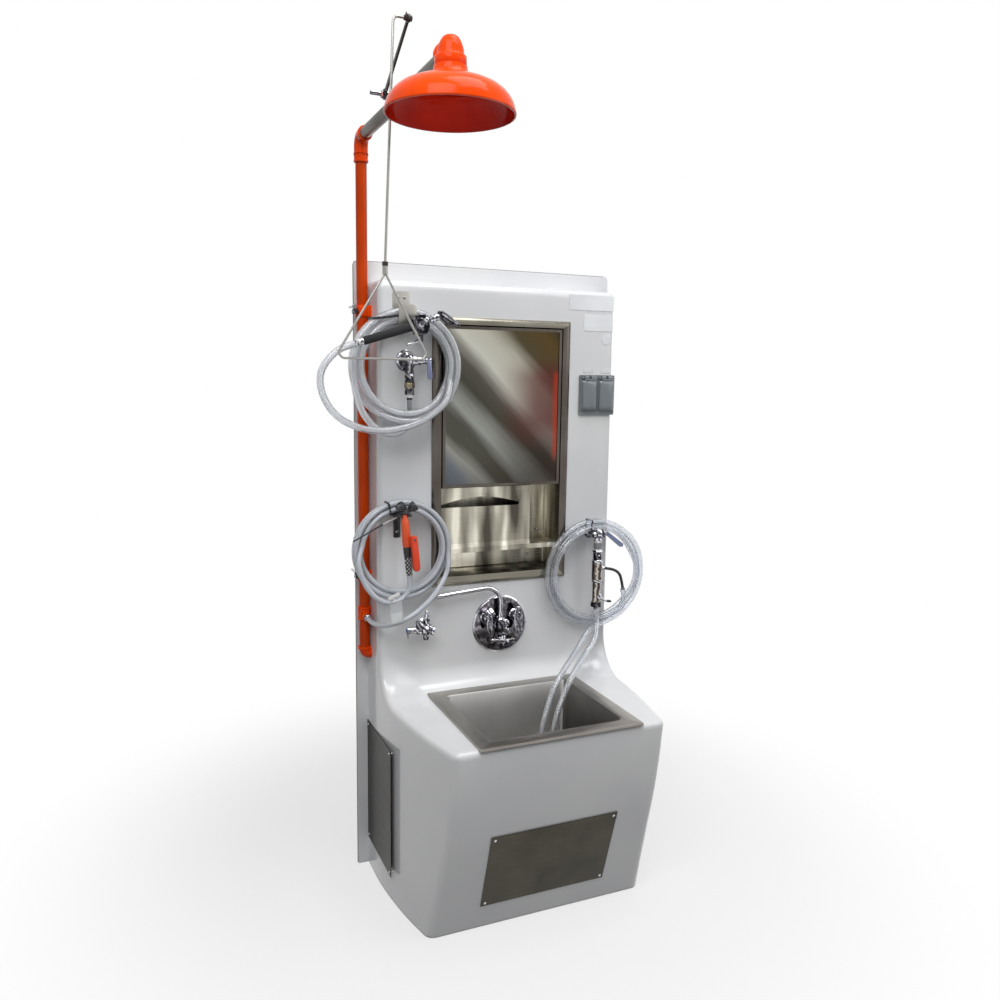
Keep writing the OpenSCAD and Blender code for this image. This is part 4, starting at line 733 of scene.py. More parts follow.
suctionTube = {
    "diameter": 0.018,
    "start": [(430, -192, 905), (436, -191, 880), (432, -188, 855), (420, -183, 838)],
    "coil": {"middle": (0.333, 0.965), "way": 1, "from": 152, "to": 1240,
        "places": [(154.5, -178.5), (154.5, -160), (173, -160), (173, -178.5)],
        "moves": [(460, 500), (780, 820), (1100, 1140)]},
    "tail": [(318, -187, 782), (292, -197, 766), (268, -212, 749), (241, -231, 730), (208, -256, 711),
        (170, -284, 692), (134, -312, 670), (100, -336, 638), (72, -358, 598), (48, -376, 552), (32, -390, 506),
        (22, -400, 460), (18, -406, 424)],
}
dischargeTube = {
    "diameter": 0.018,
    "start": [(328, -192, 852), (328, -193.5, 838), (327, -198, 822), (324, -206, 800), (315, -218, 774),
        (297, -234, 748), (268, -250, 725), (232, -274, 703), (196, -300, 682), (162, -326, 656),
        (132, -346, 620), (106, -362, 580), (86, -376, 536), (74, -386, 490), (68, -394, 446), (66, -398, 420)],
}


def hose(name, cord, look, replaced, bore=0.62):
    # start, coil and tail in one line, resampled every 6 mm
    points = inMetres(cord["start"])
    if "coil" in cord:
        points += coilTurns(cord["coil"]) + inMetres(cord["tail"])
    route = smoothRoute(points, 0.006)
    piece = meshOf(name, *tubeMesh(route, [cord["diameter"] / 2] * len(route), 20, bore), look, "station", 50)
    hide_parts(*replaced)
    print(f"{name}: {routeLength(route):.3f} m")
    return piece, route


sprayPiece, sprayRoute = hose("spray_hose", sprayHose, "clearHose", ["spray_hose_coil", "spray_hose_tail"])
drenchPiece, drenchRoute = hose("drench_hose", drenchHose, "greyHose",
    ["drench_hose_coil", "drench_hose_feed", "drench_hose_lead"])
suctionPiece, suctionRoute = hose("suction_tube", suctionTube, "tube",
    ["suction_tube_coil", "suction_tube_tail"], 0.7)
dischargePiece, dischargeRoute = hose("discharge_hose", dischargeTube, "tube", ["discharge_tube"], 0.7)
print("cords laid")


# moulded body: the surface of a rounded solid, found cell by cell and left open at the wall and floor

def roundedMeet(a, b, r):
    return np.minimum(-r, np.maximum(a, b)) + np.hypot(np.maximum(r + a, 0), np.maximum(r + b, 0))


def roundedJoin(a, b, r):
    return np.maximum(r, np.minimum(a, b)) - np.hypot(np.maximum(r - a, 0), np.maximum(r - b, 0))


def beyondLine(d, z, start, end):
    # distance in front of the sloping line from start up to end, both (depth, height)
    rise, run = end[1] - start[1], end[0] - start[0]
    return ((d - start[0]) * rise - (z - start[1]) * run) / hypot(rise, run)


def bodyDistance(points):
    x, d, z = np.abs(points[..., 0]), -points[..., 1], points[..., 2]
    crease = (body["creaseDepth"], body["creaseZ"])
    panel = roundedMeet(d - body["panelDepth"], z - body["panelTop"], body["topRound"])
    front = roundedMeet(beyondLine(d, z, crease, (body["deckDepth"], body["deckZ"])),
        beyondLine(d, z, (body["footDepth"], 0), crease), body["creaseRound"])
    basin = roundedMeet(z - body["deckZ"], front, body["deckRound"])
    share = np.clip((x - body["coveFrom"]) / body["coveSpan"], 0, 1)
    cove = body["coveMid"] + (body["coveSide"] - body["coveMid"]) * share * share * (3 - 2 * share)
    profile = roundedJoin(panel, basin, cove)
    turnIn = body["halfWidth"] - body["frontHalf"]
    slope = (turnIn + body["footTurn"] * (1 - z / body["deckZ"])) / (body["deckDepth"] - body["kinkDepth"])
    chamfer = (x - body["halfWidth"] + slope * (d - body["kinkDepth"])) / np.sqrt(1 + slope * slope)
    sides = roundedMeet(x - body["halfWidth"], chamfer, body["sideRound"])
    return roundedMeet(profile, sides, body["edgeRound"])


def surfaceOf(distance, axes):
    grid = np.stack(np.meshgrid(*axes, indexing="ij"), -1)
    value = distance(grid)
    inside = value < 0
    shape = tuple(n - 1 for n in value.shape)
    total = np.zeros(shape + (3,))
    crossings = np.zeros(shape)
    for axis in range(3):
        others = [k for k in range(3) if k != axis]
        low = [slice(None)] * 3
        high = [slice(None)] * 3
        low[axis], high[axis] = slice(0, -1), slice(1, None)
        va, vb = value[tuple(low)], value[tuple(high)]
        crossed = inside[tuple(low)] != inside[tuple(high)]
        share = np.where(crossed, va / np.where(crossed, va - vb, 1), 0)[..., None]
        point = grid[tuple(low)] * (1 - share) + grid[tuple(high)] * share
        for i in (0, 1):
            for j in (0, 1):
                pick = [slice(None)] * 3
                pick[others[0]] = slice(i, value.shape[others[0]] - 1 + i)
                pick[others[1]] = slice(j, value.shape[others[1]] - 1 + j)
                total += np.where(crossed[tuple(pick)][..., None], point[tuple(pick)], 0)
                crossings += crossed[tuple(pick)]
    used = crossings > 0
    points = total[used] / crossings[used][:, None]
    index = np.full(shape, -1)
    index[used] = np.arange(used.sum())
    for _ in range(4):
        # pull the points onto the true surface
        here = distance(points)
        slopes = np.stack([(distance(points + step) - here) / 1e-5 for step in np.eye(3) * 1e-5], -1)
        points = points - slopes * (here / np.maximum((slopes ** 2).sum(-1), 0.2))[:, None]
    quads = []
    for axis in range(3):
        a, b = [k for k in range(3) if k != axis]
        low = [slice(1, -1)] * 3
        high = [slice(1, -1)] * 3
        low[axis], high[axis] = slice(0, -1), slice(1, None)
        first, second = inside[tuple(low)], inside[tuple(high)]
        spots = np.argwhere(first != second)
        offset = np.ones(3, int)
        offset[axis] = 0
        spots = spots + offset
        corners = []
        for i, j in ((-1, -1), (0, -1), (0, 0), (-1, 0)):
            cell = spots.copy()
            cell[:, a] += i
            cell[:, b] += j
            corners.append(index[tuple(cell.T)])
        quad = np.stack(corners, 1)
        outward = inside[tuple(spots.T)] == (axis != 1)
        quad[~outward] = quad[~outward][:, ::-1]
        quads.append(quad)
    return points, np.concatenate(quads)


def buildBody():
    points, quads = surfaceOf(bodyDistance, [np.arange(low, high, body["cell"]) for low, high in body["grid"]])
    x, y, z = points[quads].mean(1).T
    acrossX, halfX, alongY, halfY, above = openings["sink"]
    sinkHole = (np.abs(x - acrossX) < halfX) & (np.abs(y - alongY) < halfY) & (z > above)
    acrossX, halfX, alongZ, halfZ, before = openings["cabinet"]
    cabinetHole = (np.abs(x - acrossX) < halfX) & (np.abs(z - alongZ) < halfZ) & (y < before)
    quads = quads[~(sinkHole | cabinetHole)]
    # nothing reaches into the wall or the floor
    points[:, 1] = np.minimum(points[:, 1], 0)
    points[:, 2] = np.maximum(points[:, 2], 0)
    shell = meshOf("moulded_body", points, quads.tolist(), "gelcoat", smoothAngle=180)
    thicken(shell, body["thick"])
    half, height, (holeHalf, low, high) = body["flangeHalf"], body["height"], body["flangeHole"]
    flange = flangePlate(roundedBox((-half, 0), (half, height), [0.003, 0.003, 0.013, 0.013], 6),
        roundedBox((-holeHalf, low), (holeHalf, high), [0, 0, 0.02, 0.02], 6))
    for piece in (shell, flange):
        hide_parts("body_shell")
    # thin dark strip round the flange's outer edge, in mm
    edge, inner = half * 1000 + body["darkStripOut"], half * 1000 - body["darkStripIn"]
    top = height * 1000 + body["darkStripOver"]
    line = [(-edge, 1), (-edge, top - 13), (-edge + 4, top - 4), (-edge + 13, top), (edge - 13, top),
        (edge - 4, top - 4), (edge, top - 13), (edge, 1), (inner, 1), (inner, top - 10), (-inner, top - 10),
        (-inner, 1)]
    assembled("flange_dark_strip", [("black", plated(line, -1.8, -0.1, "xz", 0))])


def flangePlate(outline, hole):
    # flat flange around the body, with a rounded outer edge
    form = bmesh.new()
    curves = []
    for line in (outline, hole):
        ring = [form.verts.new((p[0], -body["flangeThick"], p[1])) for p in line]
        curves.append([form.edges.new((ring[i], ring[(i + 1) % len(ring)])) for i in range(len(ring))])
    bmesh.ops.triangle_fill(form, use_beauty=True, edges=curves[0] + curves[1])
    bmesh.ops.recalc_face_normals(form, faces=form.faces)
    form.faces.ensure_lookup_table()
    if form.faces[0].normal.y > 0:
        bmesh.ops.reverse_faces(form, faces=form.faces)
    mesh = bpy.data.meshes.new("wall_flange")
    form.to_mesh(mesh)
    form.free()
    piece = shown("wall_flange", mesh, "gelcoat")
    mesh.shade_flat()
    thicken(piece, body["flangeThick"])
    bevelled(piece, "edge", 0.003, 3, 60)
    return piece


buildBody()
print("moulded body built")


# sheet pieces made of rings

def boxRing(middle, halfA, halfB, r, level, plane="xy"):
    # rounded rectangle of points, the same count each time: 4 * (steps + 1)
    ring, steps = [], 5
    for k, (sa, sb) in enumerate(((-1, -1), (1, -1), (1, 1), (-1, 1))):
        for i in range(steps + 1):
            angle = radians(180 + 90 * k + 90 * i / steps)
            a = middle[0] + sa * (halfA - r) + r * cos(angle)
            b = middle[1] + sb * (halfB - r) + r * sin(angle)
            ring.append((a, b, level) if plane == "xy" else (a, level, b))
    return ring


def loftRings(name, rings, looksBySide, sideOf, closed=False):
    # skin between rings; looksBySide names the looks, sideOf(band, side) picks one
    count = len(rings[0])
    faces, slots = [], []
    for band in range(len(rings) - 1):
        faces += bandQuads(band * count, (band + 1) * count, count)
        slots += [sideOf(band, (k + count // 8) // (count // 4) % 4) for k in range(count)]
    if closed:
        faces.append(tuple(range((len(rings) - 1) * count, len(rings) * count)))
        slots.append(sideOf(len(rings), 0))
    points = [p for ring in rings for p in ring]
    return meshOf(name, points, faces, looksBySide, "station", 32, slots)


sink = {
    "middle": (-0.005, -0.4005), "rimHalf": (0.255, 0.2255), "bowlHalf": (0.2103, 0.1803), "rimZ": 0.627,
    "deckZ": 0.619, "floorZ": 0.402, "drainZ": 0.388, "drainR": 0.0435, "sheet": 0.0015, "cornerR": 0.020,
    "floorR": 0.014,
}


def buildSink():
    mid, rimZ = sink["middle"], sink["rimZ"]
    (rx, ry), (bx, by) = sink["rimHalf"], sink["bowlHalf"]
    r = sink["cornerR"]
    turn = sink["floorR"]
    # outer edge of the rim, then the rolled edge into the bowl and its walls
    rings = [boxRing(mid, rx - inset, ry - inset, 0.003, level) for inset, level in (
        (0, sink["deckZ"] - 0.001), (0, rimZ - 0.003), (0.0009, rimZ - 0.0009), (0.003, rimZ))]
    rings += [boxRing(mid, bx + out, by + out, r + out, level) for out, level in (
        (0.004, rimZ), (0.0012, rimZ - 0.0012), (0, rimZ - 0.004), (0, sink["floorZ"] + turn))]
    for k in range(1, 5):
        angle = radians(90 * k / 4)
        inset = turn * (1 - cos(angle))
        rings.append(boxRing(mid, bx - inset, by - inset, r, sink["floorZ"] + turn * (1 - sin(angle))))
    # the floor falls from its square edge to the round drain
    edge, drain, circle = rings[-1], sink["drainR"], []
    for corner in edge:
        angle = atan2((corner[1] - mid[1]) / by, (corner[0] - mid[0]) / bx)
        circle.append((mid[0] + cos(angle), mid[1] + sin(angle)))
    for share in (0.35, 0.7, 1.0):
        radius = drain + 0.018
        rings.append([(p[0] * (1 - share) + (mid[0] + (c[0] - mid[0]) * radius) * share,
            p[1] * (1 - share) + (mid[1] + (c[1] - mid[1]) * radius) * share,
            sink["floorZ"] * (1 - share) + sink["drainZ"] * share) for p, c in zip(edge, circle)])
    rings.append([(mid[0] + (c[0] - mid[0]) * drain, mid[1] + (c[1] - mid[1]) * drain, sink["drainZ"])
        for c in circle])

    def side(band, edgeSide):
        # left, front, right and back; the walls take painted light and shade by side
        if band < 5:
            return (1, 0, 1, 5)[edgeSide]
        return (3, 2, 4, 2)[edgeSide] if band < 8 else 1

    bowl = loftRings("sink_basin", rings, ["sinkX", "sinkY", "sinkLitZ", "sinkShade", "sinkDeepShade", "sinkBack"],
        side)
    thicken(bowl, sink["sheet"])
    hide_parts("sink_bowl")


cabinet = {
    "middle": (0.001, 1.3705), "half": (0.234, 0.4165), "openX": (-0.204, 0.206), "openZ": (0.985, 1.765),
    "rise": 0.009, "depth": 0.105, "sheet": 0.0015,
}


def buildCabinet():
    mid, (hx, hz) = cabinet["middle"], cabinet["half"]
    (left, right), (low, high) = cabinet["openX"], cabinet["openZ"]
    openMid, openX, openZ = ((left + right) / 2, (low + high) / 2), (right - left) / 2, (high - low) / 2
    front, back = face - cabinet["rise"], face + cabinet["depth"]
    # rounded frame, then the opening's edge and the box behind it
    rings = [boxRing(mid, hx - inset, hz - inset, 0.004, level, "xz") for inset, level in (
        (0, face), (0, face - 0.002), (0.001, face - 0.0036), (0.009, front + 0.0006), (0.012, front))]
    rings += [boxRing(openMid, openX + out, openZ + out, 0.002, level, "xz") for out, level in (
        (0.0015, front), (0.0004, front + 0.0005), (0, front + 0.0016), (0, back - 0.003), (-0.003, back))]

    def side(band, edgeSide):
        return 2 if band >= 7 else (1, 0, 1, 0)[edgeSide]

    # the frame's upright strips take the darker copy of the steel, painted shade
    frameAndBox = loftRings("cabinet_frame_and_box", rings, ["cabinetX", "cabinetShadedZ", "inner"], side,
        closed=True)
    thicken(frameAndBox, cabinet["sheet"])
    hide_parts("cabinet_box")


buildSink()
buildCabinet()
print("sink and cabinet built")


# sheet parts of the cabinet keep their solids, with softened edges

def soften(width, *names):
    for name in names:
        bevelled(nodes[name], "soft_edge", width, 2, 40).harden_normals = False


def dressSolids():
    dress("inner", "towel_dispenser", "towel_hood", "cabinet_shelf")
    dress("mirror", "mirror_glass")
    dress("plate", "access_plates")
    plates = nodes["access_plates"].data
    # plates on the body's left side take the darker copy, painted shade
    plates.materials.append(looks["sidePlate"])
    for polygon in plates.polygons:
        polygon.material_index = int(polygon.center.x < -0.36)
    dress("aluminium", "nameplates")
    dress("plateRim", "screws")
    dress("chrome", "sink_strainer")
    dress("grey", "outlet_cover", "outlet_receptacles")
    dress("white", "waste_trap")
    dress("copper", "supply_pipes")
    soften(0.0005, "towel_dispenser", "towel_hood", "cabinet_shelf", "access_plates", "mirror_frame")
    soften(0.0008, "outlet_cover")


# flip lids of the wet-place outlet: clear bubbles with a flat rim, places in mm

lid = {"xs": (305, 368), "middleZ": 1554.5, "back": -140.3, "hingeY": -145, "hingeZ": 1611, "hingeHalf": 19,
    "wall": 1.6,
    "steps": [(30, 51.5, 3, 0), (30, 51.5, 3, 2.2), (27.4, 49, 5, 3), (26.6, 48.2, 6, 7), (24.6, 46.2, 8, 10.6),
        (20.6, 42.2, 10, 13.4), (14, 35.6, 9, 14.7)]}


def bubble(x):
    # outer skin from the rim to the front, and an inner one a wall's thickness behind it
    middle, back, wall = (x, lid["middleZ"]), lid["back"], lid["wall"]
    outer = [boxRing(middle, a, b, r, back - out, "xz") for a, b, r, out in lid["steps"]]
    inner = [boxRing(middle, a - wall, b - wall, r, back - max(out - wall, 0), "xz")
        for i, (a, b, r, out) in enumerate(lid["steps"]) if i != 1]
    rings = inner[::-1] + outer
    count = len(rings[0])
    form = bmesh.new()
    verts = [form.verts.new(Vector(p) * mm) for ring in rings for p in ring]
    for i in range(len(rings) - 1):
        for quad in bandQuads(i * count, (i + 1) * count, count):
            form.faces.new([verts[j] for j in quad])
    form.faces.new(verts[:count])
    form.faces.new(verts[-count:])
    bmesh.ops.recalc_face_normals(form, faces=form.faces)
    return shapeOf(form)


def buildLids():
    for x, side in zip(lid["xs"], ("left", "right")):
        y, z, half = lid["hingeY"], lid["hingeZ"], lid["hingeHalf"]
        assembled(f"outlet_bubble_{side}", [
            ("lid", bubble(x)),
            ("lid", turned((x - half, y, z), toRight, [(0, 6.4), (0.6, 7), (2 * half - 0.6, 7),
                (2 * half, 6.4)], 28, 3.3)),
            ("lid", block((x - half, y - 7, z - 9), (x + half, y - 3.4, z - 3), 0.6)),
            ("black", turned((x - 4, y, z), toRight, [(0, 7.2), (0.6, 7.6), (7.4, 7.6), (8, 7.2)], 28, 3.6)),
        ], [f"outlet_lid_{side}"], f"outlet_lid_{side}", 40)


# the mirror frame takes the cabinet steel's darker copy, painted shade
dress("cabinetShadedZ", "mirror_frame")
dressSolids()
buildLids()
print("solids dressed and lids built")


# overhead shower: places in mm, as in the solid model

shower = {
    "x": -424, "y": -45, "armZ": 2297, "reach": 805, "rimZ": 2168, "pipeR": 16.7, "riserZ": 759,
    "riserLength": 1508,
    "teeZ": 868, "clampZs": (1002, 1811), "clampDrop": 12, "valveY": -460, "pivotX": -470,
    "leverAngle": 29.7, "leverLength": 222, "rodX": -505, "rodFoot": (-526, 1861), "handleWide": 213,
    "handleTall": 196, "threadR": 16.4,
    "bell": [(0, 141.5), (0.6, 142.6), (2.5, 143), (4.5, 142.6), (9, 141.6), (20, 138.5), (32, 132.5),
        (44, 122.5), (54, 109.5), (62, 93), (67, 77), (70.5, 64), (73.5, 54), (77, 46.5), (82, 41), (88, 38),
        (98, 36)],
}


def screwThread(first, count, radius, pitch=2.2):
    line = []
    for i in range(count):
        line += [(first + i * pitch, radius - 0.7), (first + (i + 0.5) * pitch, radius + 0.3)]
    return line


def buildShowerPipes():
    x, y, z = shower["x"], shower["y"], shower["armZ"]
    r, foot, valveEnd = shower["pipeR"], shower["riserZ"], shower["valveY"] - 34
    threadR = shower["threadR"]
    riser = turned((x, y, foot), toTop, [(0, r), (shower["riserLength"], r)], 48, caps=False)
    # the riser is drawn in the darker, painted-shade copy of the orange enamel
    assembled("riser_pipe", [("riserOrange", riser)], ["shower_riser"])
    arc = [(x, y - 30 + 30 * cos(radians(a)), z - 30 + 30 * sin(radians(a))) for a in range(0, 91, 9)]
    bead = [(0, 20.2), (1.2, 21.6), (6, 21.6), (7.4, 20.5)]
    assembled("riser_elbow_casting", [
        ("orange", swept(arc, 41, 40)),
        ("orange", turned((x, y, z - 52), toTop, bead + [(22, 20.3)])),
        ("orange", turned((x, y - 52, z), toWall, bead + [(22, 20.3)])),
        ("orange", turned((x, y, z - 72), toTop, bead + [(19, 20.5), (20.4, 21.6), (24.8, 21.6), (26, 20.2)])),
    ], ["riser_elbow"])
    assembled("riser_foot_casting", [
        ("orange", swept(bent([(x, y, foot), (x, y, foot - 22), (x + 44, y, foot - 22)], [17], 10), 36, 36)),
        ("orange", turned((x, y, foot - 0.5), toFloor, bead)),
    ], ["riser_foot"])
    teeZ = shower["teeZ"]
    slope = Vector((0, -40, -6))
    assembled("hose_tee", [
        ("orange", turned((x, y, teeZ - 20), toTop, bead + [(32.6, 20.5), (34, 21.6), (38.8, 21.6),
            (40, 20.2)])),
        ("orange", turned((x, y - 8, teeZ - 1), slope, [(0, 13), (20, 12.4), (23, 13.4), (31, 13.4),
            (32.4, 12)])),
        ("chrome", hexed((x, y - 40, teeZ - 6), toFront, 6, 22)),
        ("chrome", turned((x, y - 45, teeZ - 6), toFront, [(0, 9.6), (1, 10.4), (4.6, 10.4), (6, 9)])),
    ], ["riser_tee"])
    assembled("arm_pipes", [
        ("pipeSteel", turned((x, y - 30, z), toFront, [(0, r), (330, r)] + screwThread(332, 9, threadR), 48)),
        ("pipeSteel", turned((x, valveEnd, z), toFront, screwThread(1, 7, threadR) + [(20, r), (277, r)], 48)),
    ], ["shower_arm"])
    # split clamps: a band round the pipe with a lug on the body's side and a bolt on the other
    for clampZ in shower["clampZs"]:
        middle = clampZ - shower["clampDrop"]
        assembled(f"clamp_band_{clampZ}", [
            ("orange", turned((x, y, middle - 17), toTop, [(0, 17.4), (0.8, 20), (2, 20.6), (32, 20.6),
                (33.2, 20), (34, 17.4)],
                40)),
            ("orange", block((x + 10, y - 16, middle - 17), (x + 31, y + 4, middle + 17), 2, 3)),
            ("orange", block((x - 12, y + 10, middle - 12), (x + 12, -8.3, middle + 12), 1.5, 2)),
            ("orange", block((x - 25, y - 10, middle - 9), (x - 12, y + 2, middle + 9), 1.5, 2)),
            ("darkChrome", hexed((x - 23, y - 11, middle), toFront, 9, 15)),
            ("black", turned((x - 23, y - 20, middle), toFront, [(0, 4.4), (6, 4.4), (7, 3.4)], 20)),
            ("darkChrome", hexed((x - 25, y - 3, middle - 2), toLeft, 6, 13)),
        ], ["riser_clamps"])


def buildShowerHead():
    x, y, z, rim = shower["x"], -shower["reach"], shower["armZ"], shower["rimZ"]
    outer = shower["bell"]
    inner = [(max(d - 2.6, 0.4) if i else 0.0, r - 3) for i, (d, r) in enumerate(outer)]
    inner[-1] = (98, 33)
    assembled("shower_bell_casting", [
        ("orange", turned((x, y, rim), toTop, outer + [inner[-1]], 96, caps=False)),
        # the bell's inside in the darker, redder painted-shade copy
        ("innerRed", turned((x, y, rim), toTop, inner[::-1] + [outer[0]], 96, caps=False)),
    ], ["shower_bell"], smoothAngle=50)
    collar = [(0, 31), (0.2, 34), (1.6, 34.8), (9, 35), (18.4, 34.8), (20, 33.6), (20.8, 31), (22.5, 30.2)]
    cone = [(34, 28.6), (44, 25.6), (52, 22), (58, 18), (61.4, 13), (62.6, 7)]
    assembled("head_elbow_casting", [
        ("orange", turned((x, y, rim + 98), toTop, collar + cone, 56)),
        ("orange", turned((x, y + 4, z), toWall, [(0, 17), (8, 21.5), (16, 24), (22, 25), (24, 28), (31, 28),
            (33.4, 27), (34, 22)], 48)),
    ], ["head_elbow"], smoothAngle=50)
    assembled("deflector", [
        # the deflector inside the bell in the same painted-shade copy
        ("innerRed", turned((x, y, rim + 51.6), toTop, [(0, 54), (0.8, 56), (3.2, 56), (4, 54)], 48)),
        ("innerRed", turned((x, y, rim + 55), toTop, [(0, 7), (52, 6)], 20)),
        ("innerRed", turned((x, y, rim + 88), toTop, [(0, 32), (4, 32)], 40)),
        ("rodSteel", hexed((x, y, rim + 46.6), toTop, 5, 13)),
    ], ["shower_deflector"])


def buildShowerValve():
    x, z, valveY, pivotX = shower["x"], shower["armZ"], shower["valveY"], shower["pivotX"]
    assembled("ball_valve", [
        ("darkChrome", hexed((x, valveY + 34, z), toFront, 20, 42)),
        ("darkChrome", turned((x, valveY + 16, z), toFront, [(0, 17), (2, 21.5), (8, 24.2), (16, 25),
            (24, 24.2), (30, 21.5), (32, 17)], 48)),
        ("darkChrome", hexed((x, valveY - 14, z), toFront, 20, 42)),
        ("darkChrome", turned((x - 20, valveY, z), toLeft, [(0, 15), (6, 14), (7, 9.4), (17, 9.4), (18, 8.4),
            (22, 8.4), (22.6, 5), (62, 5), (63.4, 4)], 32)),
        ("chrome", hexed((pivotX - 4.2, valveY, z), toLeft, 6, 17, 5)),
    ], ["shower_valve"])
    angle = radians(shower["leverAngle"])
    ahead = (0, -cos(angle), sin(angle))
    end = Vector((pivotX, valveY, z)) + Vector(ahead) * shower["leverLength"]
    eye = [(0, 12.2), (0.8, 13), (6.2, 13), (7, 12.2)]
    smallEye = [(0, 8.3), (0.8, 9), (6.2, 9), (7, 8.3)]
    assembled("pull_lever", [
        ("darkSteel", turned((pivotX - 3.5, valveY, z), toRight, eye, 32, 5.1)),
        ("darkSteel", turned((pivotX - 3.5, end.y, end.z), toRight, smallEye, 28, 3.3)),
        ("darkSteel", laid(plated([(7, -6), (215, -4.5), (215, 4.5), (7, 6)], -2.75, 2.75), (pivotX, valveY, z),
            ahead, (0, sin(angle), cos(angle)))),
    ], ["shower_lever"], "shower_lever")
    footX, footZ = shower["rodFoot"]
    rod = bent([(end.x + 8.5, end.y, end.z), (shower["rodX"], end.y, end.z), (footX, end.y, footZ)], [12], 8)
    ears = [(-15, 3), (-12, 9), (-6, 7), (-4, 4.5), (4, 4.5), (6, 7), (12, 9), (15, 3), (6, -2), (-6, -2)]
    assembled("pull_rod_bar", [
        ("rodSteel", swept(rod, 6.35, 14)),
        ("darkSteel", hexed((end.x + 4.4, end.y, end.z), toRight, 4, 11)),
        ("darkSteel", turned((end.x - 4.2, end.y, end.z), toLeft, [(0, 6.5), (6, 5.5), (7, 4)], 20)),
        ("darkSteel", laid(plated(ears, -1.2, 1.2), (end.x - 8, end.y, end.z), toFront)),
    ], ["pull_rod"], "pull")
    apex, wide, tall = footZ - 15, shower["handleWide"], shower["handleTall"]
    left, right = footX - wide * 0.525, footX + wide * 0.475
    low, high = apex - tall, apex - tall * 0.93
    loop = [(footX - 1.6, apex + 8), (footX - 2.4, apex - 4), (left, high), (left + 9, low), (right - 9, low),
        (right, high), (footX + 2.4, apex - 4), (footX + 1.6, apex + 8)]
    wire = bent([(a, end.y, b) for a, b in loop], [6, 5, 12, 12, 5, 6], 5)
    assembled("triangle_handle", [
        ("rodSteel", swept(wire, 5.5, 14)),
        ("rodSteel", turned((footX, end.y, apex - 4), toTop, [(0, 5), (1.2, 6.4), (19, 6.4), (20, 5.6)], 24)),
        ("darkSteel", hexed((footX, end.y, apex + 16), toTop, 10, 12, 3.4)),
    ], ["pull_handle"], "pull")


buildShowerPipes()
buildShowerHead()
buildShowerValve()
print("shower built")


# spray hose set at the upper left

spray = {
    "floorZ": 1759.1, "hangerX": -329, "hangerHalf": 27, "lipY": -196, "backTall": 97, "lipTall": 55,
    "wallTap": (-315, -170, 1654), "gripA": (-472, -240, 1704),
    "gripB": (-330, -240, 1748), "gripD": 24, "trigger": (-305.1, -240, 1713.1),
}


def buildHanger():
    x, half, floorZ, lip = spray["hangerX"], spray["hangerHalf"], spray["floorZ"], spray["lipY"]
    back = roundedBox((x - half, floorZ - 2), (x + half, floorZ + spray["backTall"]), [1, 1, 5, 5])
    front = roundedBox((x - half, floorZ - 2), (x + half, floorZ + spray["lipTall"]), [3, 3, 12, 5])
    assembled("hose_hanger_plate", [
        ("hangerSteel", plated(back, panelY - 2, panelY - 0.1, "xz", 0.4)),
        ("hangerSteel", block((x - half, lip, floorZ - 2), (x + half, panelY - 0.2, floorZ), 0.4)),
        ("hangerSteel", plated(front, lip - 2, lip, "xz", 0.4)),
        ("hangerSteel", turned((x, lip - 0.6, floorZ - 0.4), toRight,
            [(-half + 0.4, 1.5), (half - 0.4, 1.5)], 16)),
    ], ["hose_hanger"])


def buildSprayHandle():
    start, end = Vector(spray["gripA"]), Vector(spray["gripB"])
    ahead = (end - start).normalized()
    length, r = (end - start).length, spray["gripD"] / 2
    assembled("foam_grip", [
        ("foam", turned(start, ahead, [(0, r - 1.6), (1.6, r), (40, r - 0.3), (90, r - 0.2), (length - 1.6, r),
            (length, r - 1.4)], 36)),
        ("chrome", turned(start, -ahead, [(0, 10.2), (1.4, 10.8), (5, 10.8), (6, 9), (11, 9), (12, 9.8)], 28)),
        ("white", turned(start - ahead * 11, -ahead, [(0, 10.4), (1, 11), (5, 11), (5.6, 10)], 28)),
        ("chrome", hexed(start - ahead * 16.4, -ahead, 7.4, 18)),
    ], ["spray_grip"], smoothAngle=50)


